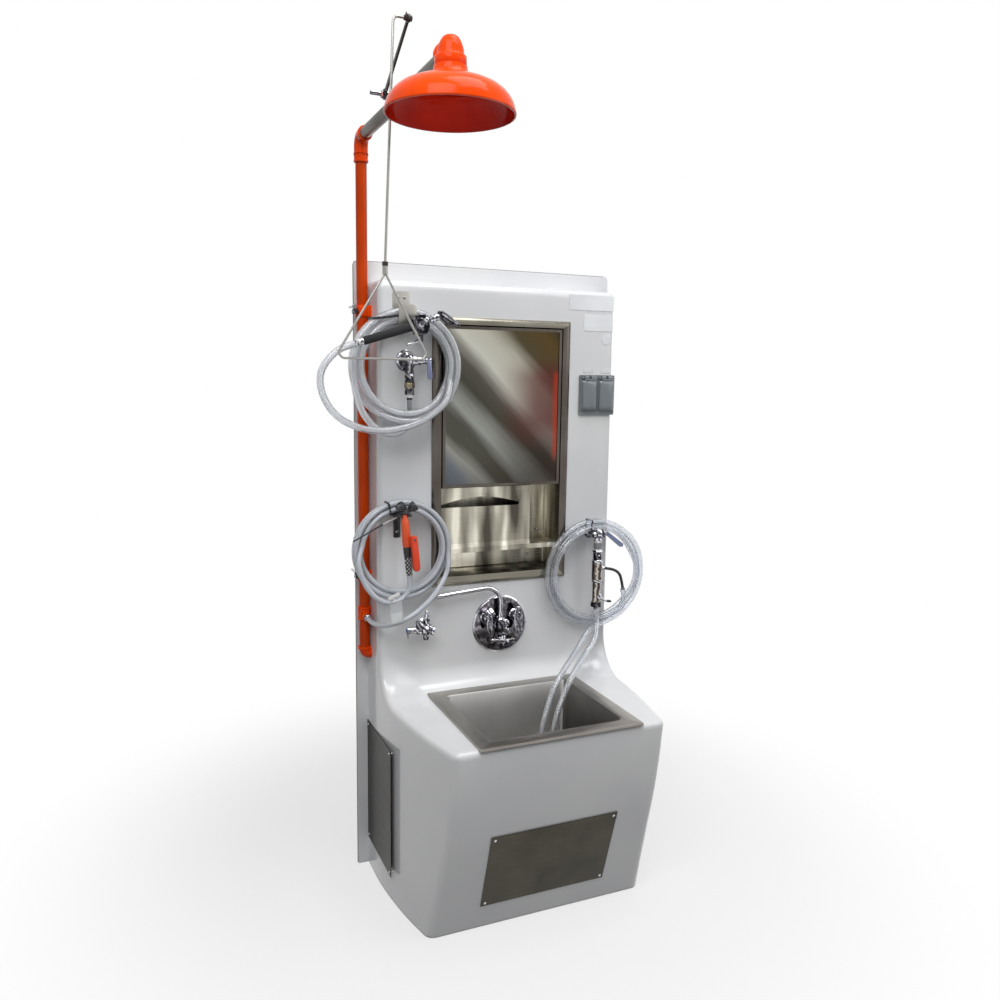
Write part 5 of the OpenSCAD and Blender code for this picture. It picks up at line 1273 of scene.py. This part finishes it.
def buildSprayValve():
    end = Vector(spray["gripB"])
    ahead = (end - Vector(spray["gripA"])).normalized()
    hub = end + ahead * 24
    lip = spray["lipY"]
    bodyLine = [(2, -23), (16, -31), (38, -30), (52, -12), (54, 12), (46, 27), (20, 30), (6, 20)]
    # curved guard over the trigger, with a bright bow on its front
    guard = [(-252, 1795), (-240, 1797), (-214, 1782), (-188, 1762), (-184, 1752), (-196, 1750), (-226, 1760),
        (-250, 1778)]
    bow = [(-241, 1793), (-213, 1778), (-192, 1762), (-194, 1758), (-216, 1770), (-243, 1786)]
    nozzle = Vector((hub.x + 36, hub.y, hub.z + 16))
    tx, ty, tz = spray["trigger"]
    parts = [
        ("blackChrome", laid(plated(bodyLine, -15, 15, "xz", 4, 3), end - ahead * 2, ahead)),
        ("blackChrome", turned((hub.x, hub.y + 19, hub.z), toFront,
            [(0, 15), (2, 18), (36, 18), (38, 15)], 28)),
        ("chrome", turned((hub.x, hub.y - 19, hub.z), toFront, [(0, 9), (2, 8.4), (3, 4)], 24)),
        ("chrome", turned((hub.x + 16, hub.y - 15, hub.z + 14), toFront,
            [(0, 7), (3, 6.5), (5, 4), (5.6, 1)], 20)),
        ("darkChrome", turned(end, ahead, [(-1, 9), (3, 11.5), (7, 11.5), (8, 9.4), (14, 9.4)], 28)),
        ("chrome", turned(nozzle, (1, 0, 0.42), [(-6, 8), (1, 8.5), (2, 11), (7, 11.4), (9, 7.6), (12, 7.6),
            (13, 10.4), (19, 10.4), (21, 7), (27, 6.4)], 24)),
        ("blackChrome", plated(guard, hub.y - 8, hub.y + 8, "xz", 3, 3)),
        ("chrome", plated(bow, hub.y - 9.4, hub.y - 7.6, "xz", 0.6)),
        ("blackChrome", block((hub.x - 12, hub.y + 10, hub.z + 4), (hub.x + 12, lip - 2.4, hub.z + 22), 2)),
    ]
    parts += [("darkChrome", block((tx - 6, earY - 2, tz - 7), (tx + 6, earY + 2, tz + 16), 1.2))
        for earY in (ty - 9, ty + 9)]
    pin = [(0, 3.6), (1, 4), (1.4, 2.4), (21.4, 2.4), (21.8, 4), (22.8, 3.6)]
    parts.append(("chrome", turned((tx, ty + 11.4, tz), toFront, pin, 20)))
    assembled("spray_valve_body", parts, ["spray_valve"], smoothAngle=40)
    pivot = Vector((tx, ty, tz))
    tip = pivot - ahead * 38 - Vector((0, 0, 4))
    middle = (pivot + tip) / 2 + Vector((0, 0, -1.6))
    leverLine = [pivot.lerp(middle, 0.22), middle, tip]
    assembled("spray_trigger_lever", [
        ("chrome", turned((tx, ty + 6.7, tz), toFront, [(0, 5.4), (0.8, 6), (12.6, 6), (13.4, 5.4)], 28, 2.6)),
        ("chrome", swept(leverLine, 7, 16, 3)),
        ("chrome", ball(tip, 3.5, 16)),
    ], ["spray_trigger"], "spray_trigger")


def stemLever(name, bodyName, hub, hubLength, hubD, run, drop):
    # lever on the end of a tap's stem: ringed hub and a flat blade that hangs down
    x, y, z = hub
    r, long = hubD / 2, hubLength
    rise = r - 1.5
    blade = [(long * 0.3, rise), (long * 0.72, rise), (run + 7, -drop + 4), (run + 5, -drop - 6),
        (run - 8, -drop - 5), (long * 0.18, -2)]
    assembled(name, [
        ("chrome", turned((x + 0.3, y, z), toRight, [(0, r - 1), (1, r), (long * 0.3, r)], 28)),
        ("darkBand", turned((x + long * 0.3, y, z), toRight, [(0, r - 0.4), (long * 0.4, r - 0.4)], 28)),
        ("chrome", turned((x + long * 0.7, y, z), toRight,
            [(0, r), (long * 0.26, r), (long * 0.3, r - 1.2)], 28)),
        ("blade", laid(plated(blade, -2.2, 2.2, "xz", 1.2), (x, y - 7.5, z), (1, -0.03, 0))),
    ], [bodyName], bodyName)


def buildWallTap():
    x, y, z = spray["wallTap"]
    assembled("wall_tap_body", [
        ("chrome", turned((x, panelY, z), toFront, [(0, 32), (1.4, 32), (3, 30.6), (5, 26), (8, 22.4),
            (10, 21.4), (13, 18), (16, 15.4), (22, 14)], 48)),
        ("chrome", ball((x, y, z + 1), 16.5, 36)),
        ("chrome", turned((x + 8, y, z), toRight, [(0, 14), (8, 14.6), (14, 13.6), (15, 11.5), (19, 11.5),
            (20, 13), (25, 13), (26, 10.5), (32, 9.4), (39, 8.6)], 36)),
        ("darkChrome", turned((x, y, z - 6), toFloor, [(0, 14), (10, 13), (16, 11.6), (22, 11.6), (23, 13.4),
            (31, 13.4), (32, 12), (36, 14), (41, 14.6), (46, 13.4), (50, 11)], 36)),
        ("chrome", ball((x - 1, y - 11, z - 44), 4.4, 16)),
        ("black", turned((x, y, z - 56), toFloor, [(0, 12), (1, 14), (8, 14), (9, 12)], 32)),
        ("brass", hexed((x, y, z - 65), toFloor, 16, 27)),
        ("darkChrome", turned((x, y, z - 81), toFloor, [(0, 12.4), (2.4, 12.4)], 28)),
        ("darkChrome", hexed((x, y, z - 83.4), toFloor, 17, 24)),
        ("white", turned((x, y, z - 100.4), toFloor, [(0, 9), (1, 10), (8, 10), (9, 8.4)], 28)),
        ("blackChrome", turned((x, y, z - 109), toFloor, [(0, 8.6), (5, 8.6), (6, 7.6)], 28)),
        ("greyBarb", turned((x, y, z - 114), toFloor, [(0, 7.2), (7, 8), (7.6, 6.8), (14, 7.8), (14.6, 6.6),
            (21, 7.6), (21.6, 6.4), (29, 7.2), (31, 6)], 28)),
    ], ["wall_tap"], smoothAngle=40)
    stemLever("wall_tap_blade", "wall_tap_lever", (x + 48, y, z), 18, 19, 14, 48)


buildHanger()
buildSprayHandle()
buildSprayValve()
buildWallTap()
print("spray set and wall tap built")


# drench hose set at the lower left

drench = {
    "top": (-344, -212, 1204), "low": (-326, -212, 996), "bracketX": -344, "bracketHalf": 11,
    "bracketZ": (1120, 1204),
    "pivot": (-322, -227, 1130), "headAxes": ((-342, -0.72), (-333, 0.74)), "sideTap": (-262, -172, 833),
}
# strands of the coils that a band holds: the coil's middle, radii and depths
tied = {"drench": ((-336, 1087), (119, 155), (-185, -147)), "suction": ((333, 965), (144, 183), (-189, -150))}


def coilTie(look, centre, radii, depths, angle, lean=0, wide=4.8):
    # flat nylon band round the strands, drawn tight, with its locking head in front
    a, b = radians(angle), radians(angle + lean)
    middle = (radii[0] + radii[1]) / 2
    origin = (centre[0] + sin(a) * middle, 0, centre[1] + cos(a) * middle)
    half, (front, back) = (radii[1] - radii[0]) / 2, depths
    w = wide / 2
    parts = [block(*row) for row in (
        ((-w, front - 1.4, -half - 1), (w, front, half + 1), 0.4),
        ((-w, back, -half - 1), (w, back + 1.4, half + 1), 0.4),
        ((-w, front - 1, half), (w, back + 1, half + 1.4), 0.4),
        ((-w, front - 1, -half - 1.4), (w, back + 1, -half), 0.4),
        ((-w - 1.2, front - 4.4, half - 8), (w + 1.2, front - 0.6, half - 2), 0.8))]
    return [(look, laid(part, origin, (cos(b), 0, -sin(b)))) for part in parts]


def strip(start, end, wide, thick, taper=1.0):
    # flat strip from start to end, narrowing by taper
    start, end = Vector(start), Vector(end)
    length, w = (end - start).length, wide / 2
    outline = [(0, -w), (length, -w * taper), (length, w * taper), (0, w)]
    return laid(plated(outline, -thick / 2, thick / 2, "xz", 0.3), start, end - start)


def buildDrenchSet():
    x, half = drench["bracketX"], drench["bracketHalf"]
    tx, ty, tz = drench["top"]
    arc = [(x + 11.5 * sin(radians(a)), ty + 11.5 * cos(radians(a))) for a in range(-128, 129, 16)]
    fork = [(x - 20, ty + 16), (x - 20, ty - 10), (x - 9, ty - 10)] + arc
    fork += [(x + 9, ty - 10), (x + 20, ty - 10), (x + 20, ty + 16)]
    low, high = drench["bracketZ"]
    back = roundedBox((x - half, low), (x + half, high), [5, 5, 1, 1])
    assembled("drench_bracket_plate", [
        ("blackGloss", plated(back, panelY - 2.4, panelY - 0.1, "xz", 0.5)),
        ("blackGloss", block((x - half, ty + 13, high - 8), (x + half, panelY - 0.2, high), 0.8)),
        ("blackGloss", plated(fork, high - 8, high, "xy", 0.8)),
    ], ["drench_bracket"])
    neck = [(0, 12.6), (1, 14), (9, 14), (12, 11), (16, 9)]
    heads = [("headGrey", turned((tx, ty, tz + 0.3), toTop, neck, 32)),
        ("headGrey", ball((tx + 6, ty - 1, tz + 12), 10, 24))]
    rose = [(0, 7), (7, 8.6), (12, 12.6), (18, 15), (25, 15.6), (28, 14.8), (28.6, 12.4), (26.6, 11.6), (26, 4)]
    for startX, lean in drench["headAxes"]:
        root, axis = (startX, ty - 2, tz + 10), (lean, -0.22, 0.62)
        heads += [("headGrey", turned(root, axis, rose, 36)),
            ("chrome", turned(root, axis, [(26, 3.4), (28.4, 3), (29, 1)], 16))]
    assembled("spray_heads", heads, ["drench_heads"], smoothAngle=45)
    grip = Vector(drench["top"])
    down = Vector(drench["low"]) - grip
    px, py, pz = drench["pivot"]
    assembled("orange_handle", [
        ("orangeGrip", turned((tx, ty, tz - 0.4), down, [(0, 9), (0.8, 9.8), (17, 10), (19, 11.4), (34, 12.4),
            (62, 13.2), (92, 13.6), (98, 13), (100, 11.6)], 36)),
        ("black", turned(grip + down.normalized() * 99, down, [(0, 12), (3, 12.6), (22, 12), (34, 11)], 32)),
        ("braid", turned(grip + down.normalized() * 132, down,
            [(0, 11.2), (24, 10.6), (46, 9.4), (54, 8.8)], 36)),
        ("orangeGrip", turned((px, py + 9, pz), toFront, [(0, 7), (4, 6), (8.7, 5.6)], 24)),
    ], ["drench_handle"], smoothAngle=50)
    blade = [(-332, 1133), (-330, 1141), (-315, 1141), (-312, 1128), (-303.4, 1047), (-305, 1038),
        (-311, 1033.6), (-319, 1034), (-324, 1040)]
    assembled("squeeze_lever", [
        ("orangeLever", plated(blade, py - 18, py - 0.3, "xz", 3, 3)),
        ("darkChrome", turned((px, py - 17.6, pz), toFront, [(0, 3.4), (0.8, 3.2), (1.2, 2)], 16)),
    ], ["drench_lever"], "drench_lever")


def buildTiesAndTags():
    ties = coilTie("black", *tied["drench"], -19, 6)
    ties += coilTie("black", *tied["suction"], -10, 14, 4)
    # strap from the spray coil's outer strand to behind the hanger's lip
    ties += [("black", strip((-430, -193.6, 1770.5), (-347, -193.6, 1781), 7, 1.4)),
        ("black", block((-431.4, -194.2, 1767.2), (-429.6, -150, 1774), 0.4))]
    ties += [("white", strip((-357, -190, 1193), (-407, -200, 1174), 4.4, 1.4)),
        ("black", strip((-406, -199.8, 1174.4), (-500, -220, 1132), 4.6, 1.5, 0.8)),
        ("black", block((-361, -194, 1188), (-352, -137, 1196), 1))]
    assembled("coil_ties", ties, ["hose_ties"])
    # blank flag on the hose and a blank card in a clear sleeve below it
    card = strip((-392.4, -236.4, 894), (-358.6, -236.4, 899), 31, 0.5)
    sleeve = strip((-394, -236.8, 912), (-357, -236.8, 916), 69, 0.3)
    assembled("hose_tags", [
        ("card", strip((-395, -219.5, 951), (-361, -219.5, 966), 11, 0.6)),
        ("card", turned((-378, -211.8, 940), (1, 0, -0.05), [(-3, 8.5), (3, 8.5)], 24)),
        ("card", block((-380, -219.8, 944), (-376, -212, 957), 0.4)),
        ("card", card), ("sleeve", sleeve),
        ("white", swept([(-376, -236.4, 944), (-376, -232, 951), (-377, -222, 952), (-378, -212, 949)], 1.6, 8,
            3)),
    ])


def buildSideTap():
    x, y, z = drench["sideTap"]
    assembled("side_tap_body", [
        ("chrome", turned((x, panelY, z), toFront, [(0, 25), (1.2, 25), (3, 23.4), (6, 19), (8, 17.6),
            (12, 15), (26, 13)], 40)),
        ("chrome", turned((x + 18, y, z), toLeft, [(0, 10), (2, 14), (9, 15), (11, 12.6), (16, 12.6),
            (18, 15.6), (25, 16.4), (33, 15.6), (35, 12), (38, 12), (39, 14), (46, 14.6), (50, 13), (52, 10),
            (60, 9.6), (69, 9)], 36)),
        ("darkChrome", hexed((x - 14, y, z), toLeft, 9, 27)),
        ("darkChrome", turned((x, y, z - 9), toFloor, [(0, 11.4), (8, 10), (9, 8.4), (12, 9.6), (20, 9.6),
            (22, 8.6), (25, 8)], 28)),
        ("chrome", turned((x + 2, y, z + 10), toTop, [(0, 9), (6, 7), (8, 10), (14, 10.8), (20, 10), (22, 6.4),
            (27, 6), (28, 8.6), (34, 8.6), (35, 5.4), (46, 4.6), (48, 2.4)], 28)),
        ("blackChrome", ball((x + 4, y - 10, z + 30), 5.4, 16)),
        ("chrome", ball((x + 9, y - 12, z + 9), 5.2, 16)),
        ("darkChrome", turned((x - 18, y - 6, z + 4), (-0.3, 0, 1),
            [(0, 9), (4, 13), (12, 14), (18, 12), (24, 7)], 28)),
        ("chrome", turned((x - 6, y - 14, z + 2), (0.2, -1, 0), [(0, 12), (4, 11), (7, 6), (8, 2)], 24)),
        ("chrome", turned((x + 14, y - 8, z - 4), (1, 0, -0.2), [(0, 12), (3, 14), (8, 14), (10, 10)], 28)),
        ("chrome", ball((x - 22, y - 12, z - 8), 4.6, 16)),
    ], ["side_tap"], smoothAngle=40)
    hx = x - 52
    assembled("side_tap_knob", [
        ("chrome", turned((hx - 0.3, y, z), toLeft, [(0, 9), (1, 11), (3, 11), (4.4, 9), (6, 11), (8.6, 11),
            (9.7, 9.6)], 28)),
        ("chrome", plated([(hx - 9.4, z), (hx - 9, z - 24), (hx - 7, z - 26), (hx - 5, z - 24), (hx - 4.6, z)],
            y - 5, y + 5,
            "xz", 1)),
        ("blueDisc", turned((hx - 9.6, y, z), toLeft, [(0, 8.6), (0.5, 8.8), (1.2, 8)], 28)),
    ], ["side_tap_handle"], "side_tap_handle", 40)


buildDrenchSet()
buildTiesAndTags()
buildSideTap()
print("drench set, ties and side tap built")


# mixing tap

tap = {"x": 2.5, "z": 814, "half": 50, "stemZ": 840, "stemY": -156, "spout": (-5.5, -158), "spoutD": 15,
    "bendR": 50, "bendZ": 892, "reach": 186, "fall": 5}


def ovalLine(x, z, halfX, halfZ, power=2.4, count=28):
    line = []
    for k in range(count):
        c, s = cos(2 * pi * k / count), sin(2 * pi * k / count)
        line.append((x + halfX * abs(c) ** (2 / power) * (1 if c > 0 else -1),
            z + halfZ * abs(s) ** (2 / power) * (1 if s > 0 else -1)))
    return line


def buildMixingTap():
    x, z, half, stemZ, stemY = tap["x"], tap["z"], tap["half"], tap["stemZ"], tap["stemY"]
    sx, sy = tap["spout"]
    assembled("tap_plate", [
        ("plateRim", turned((x, panelY - 0.1, z), toFront, [(0, 94.6), (0.8, 95), (2, 94.4), (3.4, 91)], 96,
            caps=False)),
        ("plateMirror", turned((x, panelY - 3.5, z), toFront, [(0, 91), (1.4, 89.4), (1.8, 88), (2.4, 60),
            (4.2, 20)], 96)),
    ], ["faucet_escutcheon"], smoothAngle=14)
    parts = [
        ("chrome", turned((x, panelY - 4, z), toFront, [(0, 30), (3, 28), (8, 24), (12, 22), (16, 14)], 48)),
        ("blackChrome", turned((sx, sy, z - 22), toTop, [(0, 8), (2, 12), (8, 13.6), (30, 13.6), (34, 12.6),
            (36, 12)], 36)),
        ("chrome", turned((sx, sy, z - 30), toTop, [(0, 5), (2, 8.4), (8, 9)], 28)),
        ("chrome", turned((sx, sy + 18, z), toFront, [(0, 14), (10, 12)], 32)),
        # lower cross with its screws
        ("chrome", turned((x - 6, panelY - 5, z - 52), toFront, [(0, 16), (4, 13), (14, 11), (16, 8)], 32)),
        ("darkChrome", turned((x - 42, panelY - 17, z - 50), (1, 0, -0.06),
            [(0, 5), (2, 8.4), (10, 8.4), (12, 6), (30, 6.6), (34, 10),
                (50, 10), (54, 6.6), (72, 6), (74, 8.6), (86, 8.6), (88, 5)], 28)),
        ("chrome", turned((x + 6, panelY - 17, z - 36), toFloor,
            [(0, 6), (4, 8), (24, 8), (26, 6), (36, 5)], 24)),
        ("chrome", ball((x - 34, panelY - 24, z - 46), 5.4, 16)),
        ("chrome", ball((x + 20, panelY - 24, z - 57), 5, 16)),
    ]
    flare = [(0, 21), (2, 20), (4, 17), (6, 16.6)]
    for cx in (x - half, x + half):
        parts += [
            ("chrome", turned((cx, panelY - 5, stemZ), toFront, flare, 40)),
            ("darkChrome", hexed((cx, panelY - 10, stemZ), toFront, 7, 30)),
            ("chrome", turned((cx, panelY - 16.6, stemZ), toFront, [(0, 14), (3, 14), (5, 12.6)], 32))]
    nut = hexed((0, 0, 0), toRight, 30, 26)
    parts += [
        ("chrome", laid(nut, (x - 58, panelY - 18, stemZ + 8), (0.86, -0.1, 0.5))),
        ("darkChrome", ball((x - 48, panelY - 20, stemZ - 20), 11, 24)),
        ("chrome", turned((x + 16, panelY - 14, z + 6), toFront,
            [(0, 11), (4, 11), (6, 9), (14, 8.4), (16, 5)], 28)),
        ("chrome", turned((x + 16, panelY - 12, z - 22), toFront,
            [(0, 12), (4, 12), (6, 8), (12, 7.6), (13, 4)], 28))]
    assembled("mixing_tap_body", parts, ["faucet_body"], smoothAngle=40)
    for name, side, up, low, wide in (("hot_lever", -1, 22, 46, 9.5), ("cold_lever", 1, 36, 54, 14.5)):
        cx = x + side * half
        middle, tall = stemZ + (up - low) / 2, (up + low) / 2
        assembled(name + "_blade", [
            ("chrome", turned((cx, stemY - 0.3, stemZ), toFront,
                [(0, 14), (1, 15), (7, 15), (9, 12.6), (12, 11.6)], 36)),
            ("chrome", plated(ovalLine(cx, middle, wide, tall), stemY - 18, stemY - 12.4, "xz", 2.2, 3)),
            ("darkChrome", turned((cx, stemY - 17.6, stemZ + up * 0.3), toFront,
                [(0, 7.4), (1.6, 7), (3, 5), (3.4, 1)], 28)),
        ], [name], name, 40)
    r, bendZ, reach, fall = tap["bendR"], tap["bendZ"], tap["reach"], radians(tap["fall"])
    arc = [(sx - r + r * cos(radians(a)), sy, bendZ + r * sin(radians(a))) for a in range(0, 91, 9)]
    back = Vector((cos(fall), 0, sin(fall)))
    end = Vector(arc[-1]) - back * reach
    arm = [(sx, sy, z - 2), (sx, sy, z + 40)] + arc + [tuple(Vector(arc[-1]) - back * reach * 0.5)]
    assembled("spout_tube", [
        ("chrome", swept(arm + [tuple(end + back * 10)], tap["spoutD"] - 0.2, 28)),
        ("chrome", turned(end + back * 12, -back, [(0, 7.4), (1, 8.6), (10, 8.6), (12, 7.8)], 28, 5.6)),
        ("chrome", turned((sx, sy, z + 14.3), toTop,
            [(0, 10.6), (1, 11.5), (8, 11.5), (10, 9), (13, 7.8)], 32)),
    ], ["swing_spout"], "swing_spout", 50)


buildMixingTap()
print("mixing tap built")


# water aspirator at the right

aspirator = {
    "x": 328, "y": -192, "topZ": 1099.7, "hubX": 349, "leverZ": 893.7,
    "side": [(8, 988), (30, 983), (58, 977), (77, 968), (89, 955), (95, 938), (99, 922), (102, 905)],
}


def buildAspirator():
    x, y, top = aspirator["x"], aspirator["y"], aspirator["topZ"]

    def rings(high, profile):
        return turned((x, y, high), toFloor, profile, 40)

    side = [(x + p[0], y, p[1]) for p in aspirator["side"]]
    assembled("aspirator_body", [
        ("chrome", turned((x, panelY, top), toFront, [(0, 22), (1.2, 22), (4, 19.6), (8, 17), (10, 12.6),
            (58, 10.6)], 40)),
        ("chrome", turned((x - 22, y - 2, top - 2), toRight, [(0, 6), (2, 9.4), (9, 11), (12, 9), (16, 9),
            (18, 12), (30, 12), (33, 9), (38, 9), (39, 8), (42.6, 8)], 36)),
        ("chrome", ball((x - 3, y - 11, top + 1), 5.4, 16)),
        ("chrome", turned((x - 12, y - 1, top + 4), toRight,
            [(0, 12), (3, 16), (10, 17), (17, 16), (21, 11)], 36)),
        ("darkChrome", turned((x + 12, y - 4, top + 3), toRight, [(0, 10), (2, 13.6), (7, 13.6), (9, 10)], 32)),
        ("chrome", rings(top - 8, [(0, 10), (6, 11), (10, 13), (15, 13.4), (18, 12)])),
        ("white", rings(1077, [(0, 13.6), (1, 14.8), (4, 14.8), (5, 13.4)])),
        ("greyBarb", rings(1072, [(0, 13.6), (22, 13.6)])),
        ("white", rings(1051, [(0, 14), (0.8, 15), (3, 15), (4, 13.6)])),
        ("chrome", hexed((x, y, 1047), toFloor, 7, 29)),
        ("blackChrome", rings(1040, [(0, 13), (4, 14.6), (20, 14.6), (24, 13.4)])),
        ("chrome", ball((x - 2, y - 12.6, 1030), 3.6, 14)),
        ("chrome", rings(1016, [(0, 13.6), (2, 16.6), (4, 17.6), (9, 17.6), (12, 17)])),
        # the body's long sections in chrome with a painted brown reflection
        ("chromeBrownReflection", rings(1004, [(0, 17), (56, 17), (57, 16)])),
        ("chrome", rings(947.6, [(0, 16), (1.6, 16.8), (6, 16.8), (9.6, 14)])),
        ("chromeBrownReflection", rings(938, [(0, 13.6), (62, 13.2), (66, 15)])),
        ("blackChrome", rings(873, [(0, 14), (2, 17), (5, 17), (6, 15), (8, 18), (13, 19), (17, 18),
            (18, 12)])),
        ("darkChrome", rings(855.6, [(0, 6.6), (9.6, 6.2)])),
        ("black", swept(side, 9.4, 18, 6)),
        ("chrome", turned(side[0], (1, 0, -0.22), [(4, 7), (10, 7.6), (16, 7.6), (18, 5.4)], 24)),
        ("darkChrome", turned((x + 101, y, 914), (0.16, 0, -1), [(0, 5.4), (9.2, 5.6)], 20)),
    ], ["aspirator"], smoothAngle=40)
    stemLever("aspirator_tap_blade", "aspirator_tap_lever", (aspirator["hubX"], y, top), 22, 15, 64, 40)
    z = aspirator["leverZ"]
    tip = Vector((x + 42, y - 20.5, z - 20))
    middle = Vector((x + 27, y - 21.5, z - 17))
    assembled("aspirator_switch", [
        ("chrome", turned((x, y - 16, z), toFront, [(0, 7), (1, 8), (7, 8), (8, 6.6)], 28)),
        ("chrome", swept([(x, y - 21, z), (x + 10, y - 21.4, z - 8), middle], [7.6, 7, 6], 14)),
        ("black", swept([middle, (middle + tip) / 2, tip], [7.4, 8.6, 8], 14)),
        ("black", ball(tip, 4, 14)),
    ], ["aspirator_lever"], "aspirator_lever", 45)


buildAspirator()
print("aspirator built")

# floor, backdrop and light

def seenRay(tree):
    # 1 for what the camera sees straight, in a gloss or through something clear
    rays = addNode(tree, "ShaderNodeLightPath").outputs
    straight = maths(tree, "MAXIMUM", rays["Is Camera Ray"], rays["Is Glossy Ray"])
    return maths(tree, "MAXIMUM", straight, rays["Is Transmission Ray"])


studio = {
    "floorHalf": 9, "floorTone": "#E8E8E8", "bounceTone": "#6E6E6E", "whiteFrom": 0.7, "whiteTo": 1.7,
    "leastWhite": 0.6,
    "skyLight": 0.25, "aim": (0, -0.2, 1.1),
    "lamps": [("key", (-1.9, -2.7, 4.4), 2.2, 94), ("fill", (3.2, -2.6, 3.0), 2.6, 34),
        ("top", (0.4, -1.4, 4.8), 2.0, 72)],
    "low": {"place": (-0.75, -2.6, 0.75), "aim": (-0.424, -0.805, 2.2), "power": 70, "cone": 13, "blend": 0.7,
        "soft": 0.25},
}


def addLamp(name, kind, place, aim, power):
    data = bpy.data.lights.new(name, kind)
    data.energy = power
    lamp = bpy.data.objects.new(name, data)
    lamp.location = place
    lamp.rotation_euler = (Vector(aim) - Vector(place)).to_track_quat("-Z", "Y").to_euler()
    scene.collection.objects.link(lamp)
    return lamp, data


def stageAndLights():
    far, paint = studio["floorHalf"], srgb(studio["floorTone"])
    floorMesh = bpy.data.meshes.new("floor")
    floorMesh.from_pydata([(-far, -far, 0), (far, -far, 0), (far, far, 0), (-far, far, 0)], [], [(0, 1, 2, 3)])
    floor = bpy.data.objects.new("floor", floorMesh)
    scene.collection.objects.link(floor)
    # matt pale floor: plain white to the camera away from the object, and the shadow stays near it
    material, tree, shader = startMaterial("pale_floor", Base_Color=paint, Roughness=0.9)
    # it sends less light back up than it shows, as the hall's darker floor did
    tone = addNode(tree, "ShaderNodeMix", {"Factor": seenRay(tree)}, data_type="RGBA")
    tone.inputs[6].default_value, tone.inputs[7].default_value = srgb(studio["bounceTone"]), paint
    tree.links.new(tone.outputs[2], shader.inputs["Base Color"])
    spot = addNode(tree, "ShaderNodeTexCoord").outputs["Object"]
    distance = addNode(tree, "ShaderNodeVectorMath", {0: spot}, operation="LENGTH").outputs["Value"]
    away = addNode(tree, "ShaderNodeMapRange", {
        "Value": distance, "From Min": studio["whiteFrom"], "From Max": studio["whiteTo"],
        "To Min": studio["leastWhite"], "To Max": 1.0}, interpolation_type="SMOOTHSTEP").outputs[0]
    white = addNode(tree, "ShaderNodeEmission", {"Color": (1, 1, 1, 1), "Strength": 1.0})
    share = maths(tree, "MULTIPLY", away, seenRay(tree))
    mixed = addNode(tree, "ShaderNodeMixShader", {0: share})
    tree.links.new(shader.outputs[0], mixed.inputs[1])
    tree.links.new(white.outputs[0], mixed.inputs[2])
    tree.links.new(mixed.outputs[0], tree.nodes["Material Output"].inputs["Surface"])
    floorMesh.materials.append(material)
    world = bpy.data.worlds.new("studio")
    scene.world = world
    world.use_nodes = True
    sky = world.node_tree
    background = sky.nodes["Background"]
    strength = addNode(sky, "ShaderNodeMapRange", {"Value": seenRay(sky), "To Min": studio["skyLight"],
        "To Max": 1.0})
    sky.links.new(strength.outputs[0], background.inputs["Strength"])
    background.inputs["Color"].default_value = (1, 1, 1, 1)
    for name, place, size, power in studio["lamps"]:
        addLamp(name, "AREA", place, studio["aim"], power)[1].size = size
    # a narrow lamp from below opens up the inside of the bell
    low = studio["low"]
    lamp, data = addLamp("low", "SPOT", low["place"], low["aim"], low["power"])
    data.spot_size, data.spot_blend, data.shadow_soft_size = radians(low["cone"]), low["blend"], low["soft"]
    lamp.visible_glossy = False
    scene.view_settings.view_transform = "Standard"


stageAndLights()
print("stage and lights set")
